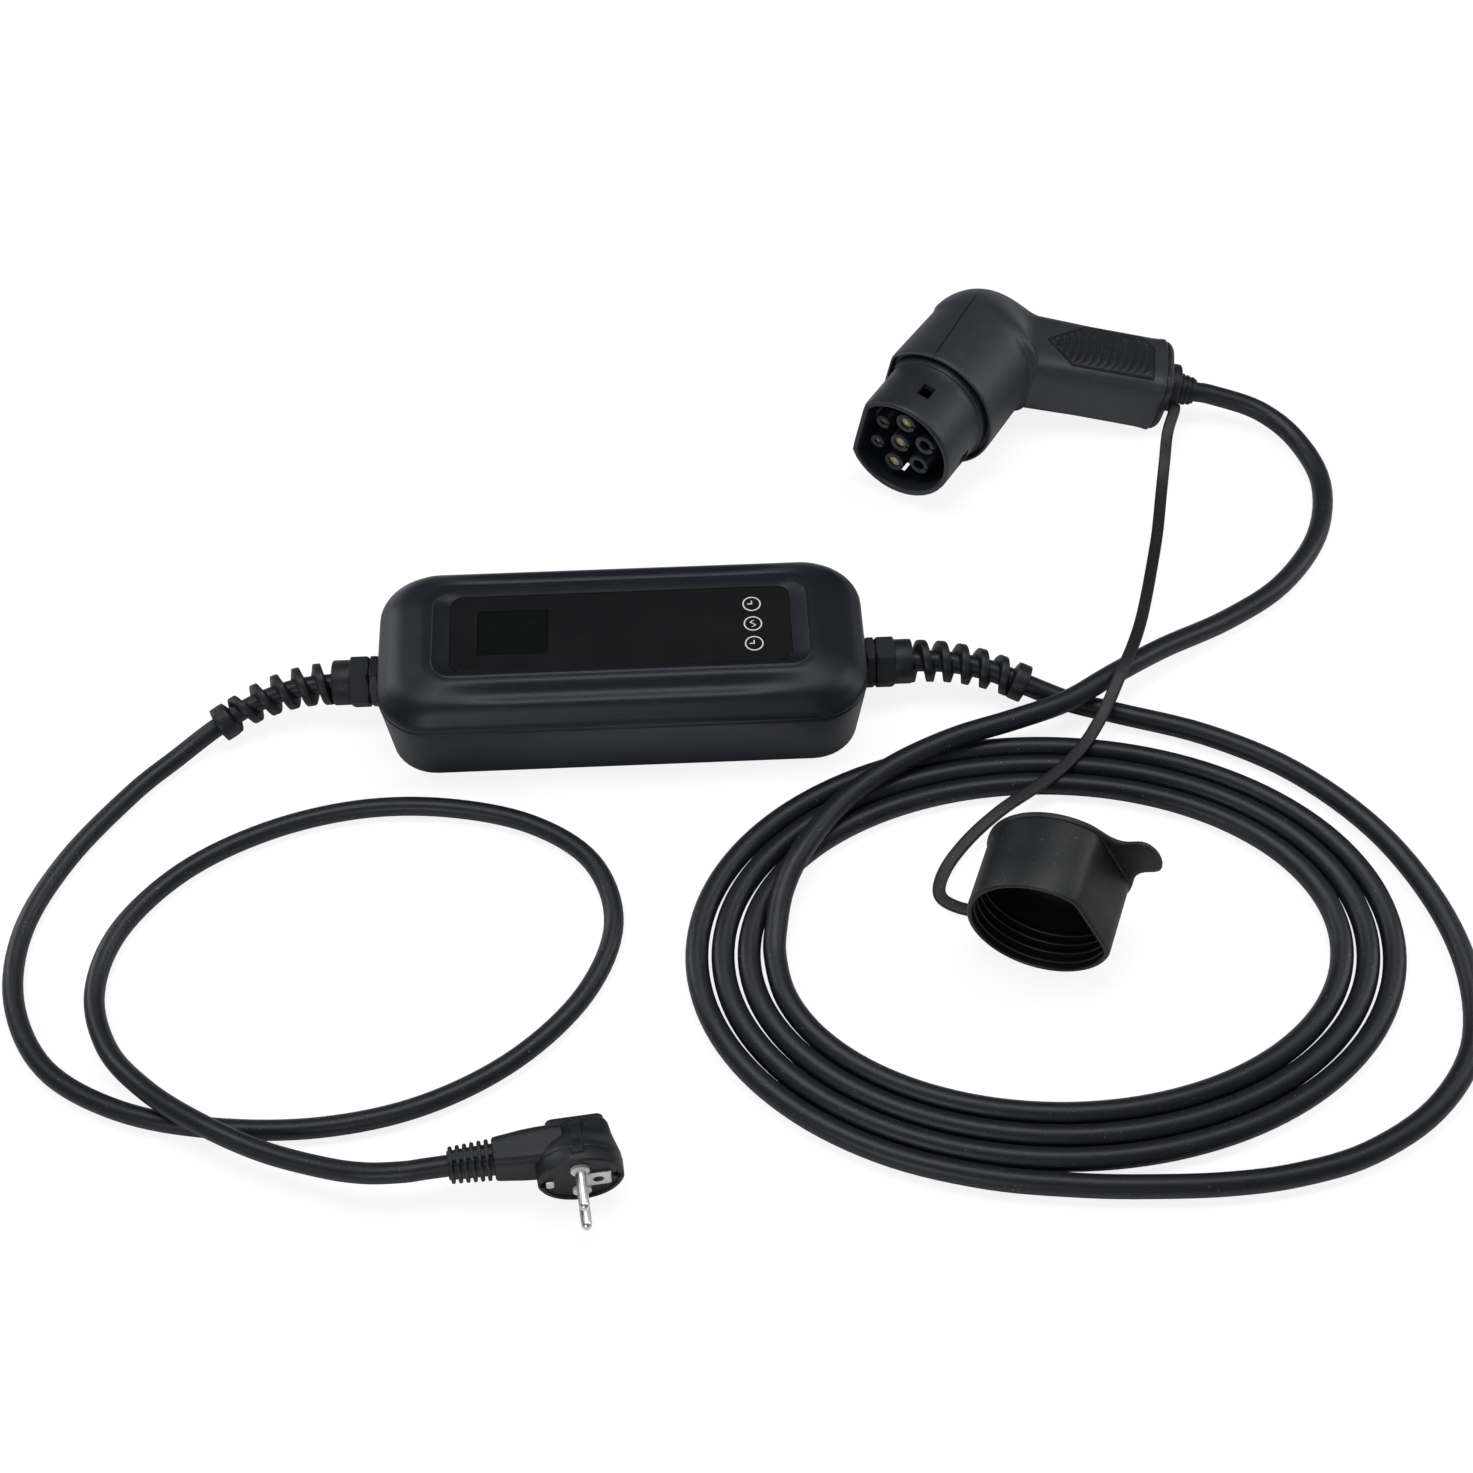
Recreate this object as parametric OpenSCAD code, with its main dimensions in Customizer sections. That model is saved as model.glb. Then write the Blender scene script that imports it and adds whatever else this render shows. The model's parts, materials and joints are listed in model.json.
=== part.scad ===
// Portable charging set for an electric car: a control box with two cable glands,
// a mains lead with a moulded plug, and a vehicle lead with a hand-held connector and its dust cap.
// The box stands flat on its base, centred on the origin, with its length along X.

/* [Control box] */
// Length of the control box
box_l = 245; // [235:1:270]
// Width of the control box
box_w = 100; // [96:1:120]
// Overall height of the control box
box_h = 56; // [54:1:66]
// Height of the base tray
base_h = 38; // [37:0.5:40]
// Corner radius of the box seen from above
corner_r = 28; // [22:1:32]
// Wall thickness of both shells
wall = 2.6; // [2:0.1:3]
// Thickness of the seal between the shells
seal_t = 1; // [0.6:0.1:1.4]
// Distance by which the cover slopes in at each end
slope_l = 25; // [22:1:27]
// Distance by which the cover slopes in at each side
slope_w = 19; // [17:1:20]

/* [Front panel] */
// Length of the glossy front panel
panel_l = 170; // [160:1:174]
// Width of the glossy front panel
panel_w = 48; // [46:1:50]
// Thickness of the front panel
panel_t = 1.2; // [0.8:0.1:1.6]
// Depth of the panel below the rim of the cover
panel_sink = 1.2; // [0.8:0.1:1.6]
// Length of the display window
lcd_l = 35; // [30:1:40]
// Width of the display window
lcd_w = 28; // [24:1:32]
// Distance of the display's middle from its end of the panel
lcd_from_end = 31; // [28:1:36]
// Distance of the touch keys' middle from their end of the panel
key_from_end = 19; // [16:1:22]
// Spacing of the three touch keys
key_pitch = 12.8; // [12.5:0.1:14]
// Diameter of a touch key
key_d = 10.4; // [9:0.1:11]

/* [Cable glands] */
// Height of the gland axis above the table
gland_z = 20; // [19:0.5:21]
// Outside diameter of the gland thread
gland_d = 20; // [18:0.5:21]
// Width across flats of the gland hexagons
hex_af = 24; // [23:0.5:26]
// Length of the hexagon on the gland body
body_hex_l = 5; // [4:0.5:7]
// Length of the hexagon on the clamping nut
nut_hex_l = 10; // [9:0.5:12]
// Length of the plain sleeve behind the nut's hexagon
sleeve_l = 9; // [7:0.5:10]
// Outside diameter of the plain sleeve
sleeve_d = 23; // [21:0.5:24]
// Number of turns in the spiral bend guard
spiral_turns = 5.5; // [4:0.5:6]

/* [Cables] */
// Diameter of the mains cable
mains_d = 9.6; // [9:0.1:10.4]
// Diameter of the vehicle cable
vehicle_d = 11; // [10:0.1:11.4]

/* [Mains plug] */
// Diameter of the plug face
plug_d = 38.6; // [37:0.1:40]
// Depth of the plug body behind its face
plug_depth = 27; // [25:0.5:30]
// Diameter of the plug pins
pin_d = 4.8; // [4.6:0.1:5]
// Length of the plug pins
pin_l = 19; // [18:0.5:20]
// Spacing of the plug pins
pin_pitch = 19; // [18:0.5:20]

/* [Vehicle connector] */
// Outside radius of the connector nose
nose_r = 31.5; // [30.5:0.1:32.5]
// Height of the flat above the middle contact
nose_flat = 24; // [23:0.1:25]
// Length of the nose in front of the hood
nose_l = 38; // [34:0.5:42]
// Wall thickness of the nose
nose_wall = 3.2; // [2.6:0.1:3.4]
// Amount by which the hood stands outside the nose
hood_step = 5.5; // [4.5:0.1:7]
// Spacing of the contacts in the middle row
contact_pitch = 16; // [15.8:0.1:16.4]
// Outside diameter of a power contact sleeve
sleeve_power_d = 11.6; // [11:0.1:12]
// Outside diameter of a signal contact sleeve
sleeve_signal_d = 8.4; // [7.8:0.1:9]
// Distance of the handle end from the hood, along the handle
handle_l = 98; // [90:1:104]
// Width of the handle from side to side
handle_w = 41; // [38:0.5:44]
// Depth of the handle from front to back
handle_d = 46; // [42:0.5:50]

/* [Dust cap] */
// Clearance between the cap and the nose
cap_fit = 0.6; // [0.4:0.1:1]
// Wall thickness of the cap
cap_wall = 2.6; // [2:0.1:3]
// Depth of the cap
cap_depth = 42; // [38:0.5:46]
// Width of the cap strap
strap_w = 9; // [7:0.5:11]
// Thickness of the cap strap
strap_t = 2.6; // [2:0.1:3]

/* [Hidden] */
$fn = 48;

// Clearances: a sliding fit, a gap between faces that only meet, and the height of a cable above the table
fit = 0.1;
gap = 0.3;
lift = 0.15;
eps = 0.01;

// Colours of the real finishes
shell_black = "#1d2026";
gloss_black = "#08090b";
rubber_black = "#151619";
metal_grey = "#c9cbce";
brass = "#c9a35c";

// A rectangle with round corners, centred
module round_rect(l, w, r) {
    square([l - 2 * r, w], center = true);
    square([l, w - 2 * r], center = true);
    for (x = [-1, 1], y = [-1, 1]) translate([x * (l / 2 - r), y * (w / 2 - r)]) circle(r);
}

// A slab with round corners, standing on height z
module slab(l, w, r, z, h) {
    translate([0, 0, z]) linear_extrude(h) round_rect(l, w, r);
}

// A six-sided bar along X from x0 to x1
module hex_bar(x0, x1) {
    translate([x0, 0, 0]) rotate([0, 90, 0]) rotate([0, 0, 30]) cylinder(d = hex_af / cos(30), h = x1 - x0, $fn = 6);
}

// A round bar along X from x0 to x1
module rod_x(d, x0, x1) {
    translate([x0, 0, 0]) rotate([0, 90, 0]) cylinder(d = d, h = x1 - x0);
}

// Points on a smooth curve through a route, by position u counted in route points
function blend4(a, b, c, d, t) = 0.5 * (2 * b + (c - a) * t + (2 * a - 5 * b + 4 * c - d) * t * t
    + (3 * b - a - 3 * c + d) * t * t * t);
function route_at(p, u) = let (n = len(p), i = min(floor(u), n - 2))
    blend4(p[max(i - 1, 0)], p[i], p[i + 1], p[min(i + 2, n - 1)], u - i);
function unit(v) = v / norm(v);
function route_dir(p, u) = unit(route_at(p, min(u + 0.05, len(p) - 1)) - route_at(p, max(u - 0.05, 0)));
function side_of(t) = unit(cross(t, [0, 0, 1]));
function up_of(t) = cross(side_of(t), t);

// A point turned about one axis
function turn_x(p, a) = [p[0], p[1] * cos(a) - p[2] * sin(a), p[1] * sin(a) + p[2] * cos(a)];
function turn_y(p, a) = [p[0] * cos(a) + p[2] * sin(a), p[1], p[2] * cos(a) - p[0] * sin(a)];
function turn_z(p, a) = [p[0] * cos(a) - p[1] * sin(a), p[0] * sin(a) + p[1] * cos(a), p[2]];

// A section placed across the route at u
function section_at(p, u, section) = let (c = route_at(p, u), t = route_dir(p, u))
    [for (q = section) c + q[0] * side_of(t) + q[1] * up_of(t)];

// Faces that join rings of n points into a closed tube
function tube_faces(rings, n) = concat(
    [for (i = [0 : rings - 2], k = [0 : n - 1])
        [i * n + k, i * n + (k + 1) % n, (i + 1) * n + (k + 1) % n, (i + 1) * n + k]],
    [[for (k = [n - 1 : -1 : 0]) k], [for (k = [0 : n - 1]) (rings - 1) * n + k]]);

// A round section with one corner at the very bottom, so a cable touches what it lies on
function round_section(d, n) = [for (k = [0 : n - 1]) d / 2 * [sin(360 * k / n), -cos(360 * k / n)]];

// A closed tube of one section along a route, with so many rings for each route point
module sweep(p, section, per_point) {
    rings = (len(p) - 1) * per_point + 1;
    points = [for (i = [0 : rings - 1]) each section_at(p, i / per_point, section)];
    polyhedron(points, tube_faces(rings, len(section)), convexity = 10);
}

// Outline of the nose: a circle with a flat on top and round corners there
nose_drop = 1.5;
function arc(c, r, a0, a1, n) = [for (i = [0 : n]) let (a = a0 + (a1 - a0) * i / n) c + r * [cos(a), sin(a)]];
function nose_outline(grow, corner = 6) = let (
    r = nose_r + grow,
    z = nose_flat + grow - corner,
    y = sqrt(pow(r - corner, 2) - pow(z + nose_drop, 2)),
    a = atan2(z + nose_drop, y))
    concat(arc([-y, z], corner, 90, 180 - a, 6), arc([0, -nose_drop], r, 180 - a, 360 + a, 48),
        arc([y, z], corner, a, 90, 6));

// The nose outline carried along X from x0 to x1
module nose_bar(grow, x0, x1) {
    translate([x0, 0, 0]) rotate([90, 0, 90]) linear_extrude(x1 - x0) polygon(nose_outline(grow));
}

// Heights inside the control box
cover_z = base_h + seal_t;
panel_z = box_h - panel_sink - panel_t;
roof_z = panel_z - wall;
display_t = 4.5;
board_t = 1.6;
display_board_z = roof_z - display_t - board_t;
power_board_z = wall + 8;
board_top = power_board_z + board_t;
power_board_l = 160;
power_board_w = 76;
// Display, keys and the posts of their board, which stand clear of both
lcd_x = panel_l / 2 - lcd_from_end;
key_x = panel_l / 2 - key_from_end;
module_l = lcd_l + 8;
post_r = 3;
post_gap = 1.5;
post_x = max(lcd_x + module_l / 2, key_x + key_d / 2) + post_r + post_gap;
display_board_l = 2 * (post_x + post_r + 1);
display_board_w = 40;
post_y = display_board_w / 2 - post_r - 1;
// Screw columns of the two shells
column_in = 18;
column_x = box_l / 2 - corner_r + 2;
column_y = box_w / 2 - column_in;
thread_gap = 4;
key_hole_d = 3;
key_hole_h = 1;
// Blocks on the main board: place, length, width, height
relay_x = 20;
relay_y = 18;
relay_l = 32;
relay_w = 24;
relay_h = 20;
supply_x = 34;
supply_y = 18;
supply_l = 34;
supply_w = 28;
supply_h = 20;
block_l = 16;
block_h = 12;
mains_block_x = 67;
mains_block_w = 44;
vehicle_block_x = 62;
vehicle_block_w = 52;
column_r = 4.5;
screw_d = 3.6;
head_d = 7;
head_h = 3;
columns = [for (x = [-1, 1], y = [-1, 1]) [x * column_x, y * column_y]];
top_l = box_l - 2 * slope_l;
top_w = box_w - 2 * slope_w;
column_h = roof_z - cover_z;
thread_l = 8;
panel_corner = 6;
ramp_l = 8;
ramp_w = 3;
draft = 4;

// Cable glands: distances are measured outwards from the pad on the end wall
pad_proud = 1;
pad_in = draft + wall;
pad_r = 15;
pad_x = box_l / 2 + pad_proud;
locknut_l = 5;
stub_in = pad_in + pad_proud + locknut_l + 2;
stub_out = 7;
stub_d = 18;
ledge = 2;
seal_d = 15;
nut_start = body_hex_l;
nut_hex_end = nut_start + nut_hex_l;
nut_end = nut_hex_end + sleeve_l;

// Each cable leaves its gland straight and then bends down to the table
// [distance from the pad, sideways, down]
mains_exit = [[-14, 0, 0], [4, 0, 0], [24, 0, 0], [44, -2, -1], [64, -8, -4.5], [83, -18, -9.5]];
vehicle_exit = [[-14, 0, 0], [4, 0, 0], [24, 0, 0], [44, -1, -1], [64, -5, -4], [83, -12, -8.5]];
function exit_route(side, steps) = [for (s = steps) [side * (pad_x + s[0]), s[1], gland_z + s[2]]];

// Mains cable on the table: a wide loop to the left, crossing over itself on the way to the plug
mains_z = mains_d / 2 + lift;
mains_table = [
    [-226, -33, mains_z + 1], [-247, -54, mains_z], [-274, -92, mains_z], [-290, -132, mains_z],
    [-289, -172, mains_z], [-270, -208, mains_z], [-234, -231, mains_z], [-190, -242, mains_z],
    [-142, -244, mains_z], [-96, -235, mains_z], [-54, -213, mains_z], [-22, -180, mains_z],
    [-8, -142, mains_z], [-18, -106, mains_z], [-48, -82, mains_z], [-90, -70, mains_z],
    [-134, -69, mains_z], [-178, -80, mains_z], [-217, -102, mains_z], [-244, -134, mains_z],
    [-252, -168, mains_z], [-242, -200, mains_z + 2], [-220, -226, mains_z + 8],
    [-194, -245, mains_z + 10.4], [-166, -259, 13.8], [-138, -269, 15], [-119, -274, 17.6]
];

// Vehicle cable: from the gland round the right of the coil, and from the coil to the connector
vehicle_z = vehicle_d / 2 + lift;
lead_table = [
    [228, -20, vehicle_z + 1], [252, -28, vehicle_z], [295, -44, vehicle_z], [335, -69, vehicle_z],
    [368, -106, vehicle_z], [388, -150, vehicle_z], [394, -192, vehicle_z], [386, -230, vehicle_z],
    [362, -260, vehicle_z], [328, -280, vehicle_z], [294, -289, vehicle_z], [262, -292, vehicle_z]
];
coil_centre = [200, -165];
coil_turns = 3.3;
coil_pitch_x = 12.4;
coil_pitch_y = 11.3;
coil_a = 172;
coil_b = 123;
over_z = 1.5 * vehicle_d + fit;
tail_table = [
    [84, -112, over_z], [104, -86, over_z], [132, -64, over_z], [164, -48, over_z], [196, -38, over_z + 0.4],
    [224, -28, over_z + 1], [250, -12, over_z + 1], [280, 8, 13], [318, 30, 7], [352, 54, vehicle_z],
    [378, 88, vehicle_z], [388, 126, vehicle_z + 0.4], [380, 158, 8], [362, 178, 11.8]
];

// Contacts in the nose: [sideways, up] from the middle contact
row_drop = 13.9;
signal_rise = 12.6;
contact_side = contact_pitch;
line_at = [contact_side, 0];
neutral_at = [-contact_side, 0];
pilot_at = [contact_side / 2, signal_rise];
proximity_at = [-contact_side / 2, signal_rise];
spare_at = [[contact_side / 2, -row_drop], [-contact_side / 2, -row_drop]];

// Bottom tray of the control box, with a pad on each end wall for a gland
module box_base() {
    color(shell_black) difference() {
        union() {
            difference() {
                hull() {
                    slab(box_l - 2 * draft - 4, box_w - 2 * draft - 4, corner_r - draft - 2, 0, eps);
                    slab(box_l - 2 * draft, box_w - 2 * draft, corner_r - draft, 2, eps);
                    slab(box_l, box_w, corner_r, base_h - eps, eps);
                }
                hull() {
                    slab(box_l - 2 * draft - 2 * wall, box_w - 2 * draft - 2 * wall, corner_r - draft - wall, wall, eps);
                    slab(box_l - 2 * wall, box_w - 2 * wall, corner_r - wall, base_h, 1);
                }
            }
            for (s = [0, 1]) mirror([s, 0, 0]) translate([0, 0, gland_z]) rod_x(2 * pad_r, box_l / 2 - pad_in, pad_x);
            for (p = columns) translate([p[0], p[1], wall - eps]) cylinder(r = column_r, h = base_h - wall + eps);
            for (x = [-1, 1], y = [-1, 1])
                translate([x * (power_board_l / 2 - 8), y * (power_board_w / 2 - 8), wall - eps])
                    cylinder(r = 4, h = power_board_z - wall + eps);
        }
        translate([0, 0, gland_z]) rod_x(gland_d + 2 * fit, -box_l, box_l);
        for (p = columns) translate([p[0], p[1], -1]) {
            cylinder(d = screw_d + 2 * fit, h = base_h + 2);
            cylinder(d = head_d + 2 * fit, h = head_h + 1);
        }
    }
}

// Domed top shell: crowned slopes up to a rim, with a ramped pocket for the front panel
module box_cover() {
    color(shell_black) difference() {
        union() {
            difference() {
                hull() {
                    slab(box_l, box_w, corner_r, cover_z, 3);
                    slab(box_l - slope_l * 0.7, box_w - slope_w * 0.7, corner_r - 4, box_h - 5, eps);
                    slab(top_l, top_w, corner_r / 2, box_h - eps, eps);
                }
                hull() {
                    slab(box_l - 2 * wall, box_w - 2 * wall, corner_r - wall, cover_z - 1, 2);
                    slab(top_l, top_w, corner_r / 2, roof_z - eps, eps);
                }
            }
            for (p = columns) translate([p[0], p[1], cover_z]) cylinder(r = column_r, h = column_h);
            for (x = [-1, 1], y = [-1, 1])
                translate([x * post_x, y * post_y, display_board_z + board_t]) cylinder(r = post_r, h = display_t + eps);
        }
        hull() {
            slab(panel_l + 2 * fit, panel_w + 2 * fit, panel_corner + fit, box_h - panel_sink, eps);
            slab(panel_l + 2 * ramp_l, panel_w + 2 * ramp_w, panel_corner + ramp_w, box_h, 1);
        }
        slab(panel_l + 2 * fit, panel_w + 2 * fit, panel_corner + fit, panel_z, box_h);
        translate([-lcd_x, 0, roof_z - 1]) linear_extrude(box_h) square([lcd_l - 4, lcd_w - 4], center = true);
        for (p = columns) translate([p[0], p[1], cover_z - 1]) cylinder(d = screw_d + 2 * fit, h = thread_l - 1);
    }
}

// Flat seal between the two shells
module cover_seal() {
    color(rubber_black) translate([0, 0, base_h]) linear_extrude(seal_t) difference() {
        round_rect(box_l - 0.8, box_w - 0.8, corner_r - 0.4);
        round_rect(box_l - 2 * wall, box_w - 2 * wall, corner_r - wall);
    }
}

// Glossy sheet over the touch keys, with an opening for the display
module front_panel() {
    color(gloss_black) translate([0, 0, panel_z]) linear_extrude(panel_t) difference() {
        round_rect(panel_l, panel_w, panel_corner);
        translate([-lcd_x, 0]) square([lcd_l + 2 * fit, lcd_w + 2 * fit], center = true);
    }
}

// Clear window over the display, level with the panel
module display_window() {
    color("#0c1210") translate([-lcd_x, 0, panel_z]) linear_extrude(panel_t) square([lcd_l, lcd_w], center = true);
}

// Display behind the window, pressed against the roof of the cover
module display_module() {
    color("#2c3a30") translate([-lcd_x, 0, roof_z - display_t]) linear_extrude(display_t)
        square([module_l, lcd_w + 5], center = true);
}

// Three touch pads between the display board and the roof
module touch_pads() {
    color(metal_grey) for (k = [-1 : 1])
        translate([key_x, k * key_pitch, roof_z - display_t]) cylinder(d = key_d, h = display_t);
}

// Board that carries the display and the touch pads
module display_board() {
    color("#1f5a35") slab(display_board_l, display_board_w, 2, display_board_z, board_t);
}

// Main board on four posts of the base
module power_board() {
    color("#1f5a35") slab(power_board_l, power_board_w, 3, power_board_z, board_t);
}

// A block with round corners, standing on the main board
module on_board(x, y, l, w, h) {
    translate([x, y, 0]) slab(l, w, 1.5, board_top, h);
}

// Two relays that switch line and neutral
module main_relays() {
    color("#22262c") for (y = [-1, 1]) on_board(relay_x, y * relay_y, relay_l, relay_w, relay_h);
}

// Small supply for the electronics
module supply_module() {
    color("#30343a") on_board(-supply_x, -supply_y, supply_l, supply_w, supply_h);
}

// Ring that senses leakage current round both conductors
module leakage_sensor() {
    color("#3a3f47") translate([-34, 20, board_top]) rotate_extrude() translate([7, 0]) square([7, 12]);
}

// Two upright capacitors
module capacitors() {
    color("#2b3348") for (y = [-1, 1]) translate([-5, y * 16, board_top]) cylinder(d = 11, h = 18);
}

// Terminal blocks where the two cables end
module mains_terminals() {
    color("#8f959c") on_board(-mains_block_x, 0, block_l, mains_block_w, block_h);
}

module vehicle_terminals() {
    color("#8f959c") on_board(vehicle_block_x, 0, block_l, vehicle_block_w, block_h);
}

// Four screws up through the base into the cover
module cover_screws() {
    color(metal_grey) for (p = columns) translate([p[0], p[1], 0]) {
        translate([0, 0, head_h / 2]) cylinder(d = screw_d, h = cover_z - head_h / 2 + thread_l - thread_gap);
        difference() {
            cylinder(d = head_d, h = head_h);
            translate([0, 0, -key_hole_h]) cylinder(d = key_hole_d, h = 2 * key_hole_h, $fn = 6);
        }
    }
}

// Moves a gland part to its end of the box: side is -1 for the mains end, 1 for the vehicle end
module at_gland(side) {
    mirror([side < 0 ? 1 : 0, 0, 0]) translate([pad_x, 0, gland_z]) children();
}

// Threaded body through the wall, with a hexagon outside
module gland_body(cable_d) {
    color(shell_black) difference() {
        union() {
            rod_x(gland_d, -stub_in, eps);
            hex_bar(0, body_hex_l);
            rod_x(stub_d, body_hex_l - eps, body_hex_l + stub_out);
        }
        rod_x(cable_d + 4 * fit, -stub_in - 1, ledge + eps);
        rod_x(seal_d, ledge, body_hex_l + stub_out + 1);
    }
}

// Rubber sleeve that the nut squeezes onto the cable
module gland_seal(cable_d) {
    color(rubber_black) difference() {
        rod_x(seal_d - 2 * fit, ledge, body_hex_l + stub_out);
        rod_x(cable_d + 2 * fit, ledge - 1, body_hex_l + stub_out + 1);
    }
}

// Nut that holds the gland from inside the wall
module gland_locknut() {
    color(shell_black) difference() {
        hex_bar(-pad_in - pad_proud - locknut_l, -pad_in - pad_proud);
        rod_x(gland_d + 2 * fit, -stub_in, 0);
    }
}

// Spiral guard: a tapering band wound round the bending cable
guard_from = 1.95;
guard_to = 4.65;
guard_steps = 18;
function guard_band(p, inner, step) = let (
    total = spiral_turns * guard_steps,
    f = step / total,
    u = guard_from + (guard_to - guard_from) * f,
    c = route_at(p, u),
    t = route_dir(p, u),
    a = 360 * step / guard_steps,
    out = cos(a) * side_of(t) + sin(a) * up_of(t),
    outer = (sleeve_d / 2 - 0.5) * (1 - f) + (inner + 3.4) * f)
    [c + inner * out + 3 * t, c + outer * out + 2.2 * t, c + outer * out - 2.2 * t, c + inner * out - 3 * t];

// Clamping nut: hexagon, plain sleeve, spiral guard and end collar moulded as one piece
module gland_nut(side, steps, cable_d) {
    p = exit_route(side, steps);
    inner = cable_d / 2 + 3 * fit;
    rings = floor(spiral_turns * guard_steps) + 1;
    collar = [for (i = [0 : 3]) guard_to - 0.12 + i * (len(p) - 1 - guard_to + 0.12) / 3];
    color(rubber_black) {
        at_gland(side) difference() {
            union() {
                hex_bar(nut_start, nut_hex_end);
                rod_x(sleeve_d, nut_hex_end - eps, nut_end);
            }
            rod_x(stub_d + 2 * fit, nut_start - 1, body_hex_l + stub_out + fit);
            rod_x(2 * inner, 0, nut_end + 1);
        }
        polyhedron([for (i = [0 : rings - 1]) each guard_band(p, inner + 2 * fit, i)], tube_faces(rings, 4), convexity = 10);
        guard_collar(p, collar, inner, inner + 4);
    }
}

// A short pipe round the cable at the places listed, from its inner to its outer radius
module guard_collar(p, places, inner, outer) {
    sides = 24;
    n = len(places);
    difference() {
        polyhedron([for (u = places) each section_at(p, u, round_section(2 * outer, sides))], tube_faces(n, sides));
        bore_along(p, places[0] - 0.05, places[n - 1], inner, sides);
    }
}

// A round bore along part of a route, run on past its end
module bore_along(p, u0, u1, r, sides) {
    past = route_dir(p, u1) * 2;
    rings = [for (i = [0 : 4]) section_at(p, u0 + (u1 - u0) * i / 4, round_section(2 * r, sides))];
    last = [for (q = rings[4]) q + past];
    polyhedron([each [for (g = rings) each g], each last], tube_faces(6, sides));
}

module mains_gland_body() { at_gland(-1) gland_body(mains_d); }
module mains_gland_seal() { at_gland(-1) gland_seal(mains_d); }
module mains_gland_nut() { gland_nut(-1, mains_exit, mains_d); }
module mains_gland_locknut() { at_gland(-1) gland_locknut(); }
module vehicle_gland_body() { at_gland(1) gland_body(vehicle_d); }
module vehicle_gland_seal() { at_gland(1) gland_seal(vehicle_d); }
module vehicle_gland_nut() { gland_nut(1, vehicle_exit, vehicle_d); }
module vehicle_gland_locknut() { at_gland(1) gland_locknut(); }

module mains_cable() {
    ending = [for (s = [20, 10, 0]) plug_point(boot_end + fit / 2 + s)];
    color(rubber_black)
        sweep(concat(exit_route(-1, mains_exit), mains_table, ending), round_section(mains_d, 10), 2);
}

module vehicle_cable_lead() {
    color(rubber_black) sweep(concat(exit_route(1, vehicle_exit), lead_table), round_section(vehicle_d, 10), 2);
}

module vehicle_cable_tail() {
    ending = [for (t = [32, 21, 10, fit / 2]) connector_point(handle_axis(handle_l + t))];
    color(rubber_black) sweep(concat(tail_table, ending), round_section(vehicle_d, 10), 2);
}

// Outer shape of the loose oval coil
function oval(a, b, n = 48) = [for (i = [0 : n - 1]) [a * cos(360 * i / n), b * sin(360 * i / n)]];
module vehicle_cable_coil() {
    half = vehicle_d / 2;
    color(rubber_black) translate(coil_centre) linear_extrude(vehicle_d) difference() {
        polygon(oval(coil_a + half, coil_b + half));
        polygon(oval(coil_a - coil_turns * coil_pitch_x - half, coil_b - coil_turns * coil_pitch_y - half));
    }
}

// The plug lies on its side with its pins level: its own frame has the pins along X and the cable along -Y
plug_at = [-24, -283];
plug_turn = -84;
plug_neck_x = 16;
boot_end = 57;
boot_start = 37;
function plug_point(s) = [plug_at[0], plug_at[1], plug_d / 2] + turn_z([-plug_neck_x, -s, 0], plug_turn);
module at_plug() {
    translate([plug_at[0], plug_at[1], plug_d / 2]) rotate([0, 0, plug_turn]) children();
}

// A disc across X with its face at x, reaching back by l
module disc_x(d, x, l) {
    rod_x(d, x - l, x);
}

// Moulded plug body, neck and ribbed bend guard in one piece
module plug_body() {
    rib_t = 1.4;
    ribs = 6;
    color(rubber_black) at_plug() difference() {
        union() {
            hull() {
                disc_x(plug_d, 0, 7);
                translate([-plug_depth, 0, 0]) rotate([0, 90, 0]) linear_extrude(2) round_rect(24, 30, 7);
            }
            translate([-plug_depth - 3, 0, 0]) rotate([0, 90, 0]) linear_extrude(4) round_rect(7, 26, 3);
            hull() {
                translate([-plug_neck_x, -8, 0]) rotate([90, 0, 0]) linear_extrude(1) round_rect(18, 24, 5);
                translate([-plug_neck_x, -boot_start, 0]) rotate([-90, 0, 0]) linear_extrude(1) round_rect(15, 20, 5);
            }
            translate([-plug_neck_x, 0, 0]) rotate([90, 0, 0]) cylinder(d = mains_d + 4, h = boot_end);
            for (i = [0 : ribs - 1])
                translate([-plug_neck_x, -boot_end + i * (boot_end - boot_start) / ribs, 0])
                    rotate([-90, 0, 0]) linear_extrude(rib_t) round_rect(15 - 0.3 * (ribs - i), 18.6, 5);
        }
        for (z = [-1, 1]) translate([0, 0, z * pin_pitch / 2]) rod_x(collar_d + 2 * fit, -collar_l, 1);
        for (y = [-1, 1]) translate([-12, y * plug_d / 2 - 2.5, -2.5]) cube([20, 5, 5]);
        translate([-socket_t - 6, socket_y - 8, -5.5]) cube([10 + socket_t, 10.5, 11]);
        translate([-5, -clip_y - 2, -3]) cube([8, 3.5, 6]);
    }
}

// Nickel-plated pins with rounded ends
module plug_pins() {
    color(metal_grey) at_plug() for (z = [-1, 1]) translate([0, 0, z * pin_pitch / 2]) {
        rod_x(root_d, -collar_l, collar_out + 1);
        rod_x(pin_d, collar_out + fit / 2, pin_l - pin_d / 2);
        translate([pin_l - pin_d / 2, 0, 0]) sphere(d = pin_d);
    }
}

// Pale insulating collars round the pins
collar_d = 8.4;
collar_l = 10;
collar_out = 0.8;
root_d = pin_d - 0.8;
module plug_collars() {
    color("#e9e9e6") at_plug() for (z = [-1, 1]) translate([0, 0, z * pin_pitch / 2]) difference() {
        rod_x(collar_d, -collar_l, collar_out);
        rod_x(root_d + 2 * fit, -collar_l - 1, 2);
    }
}

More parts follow.
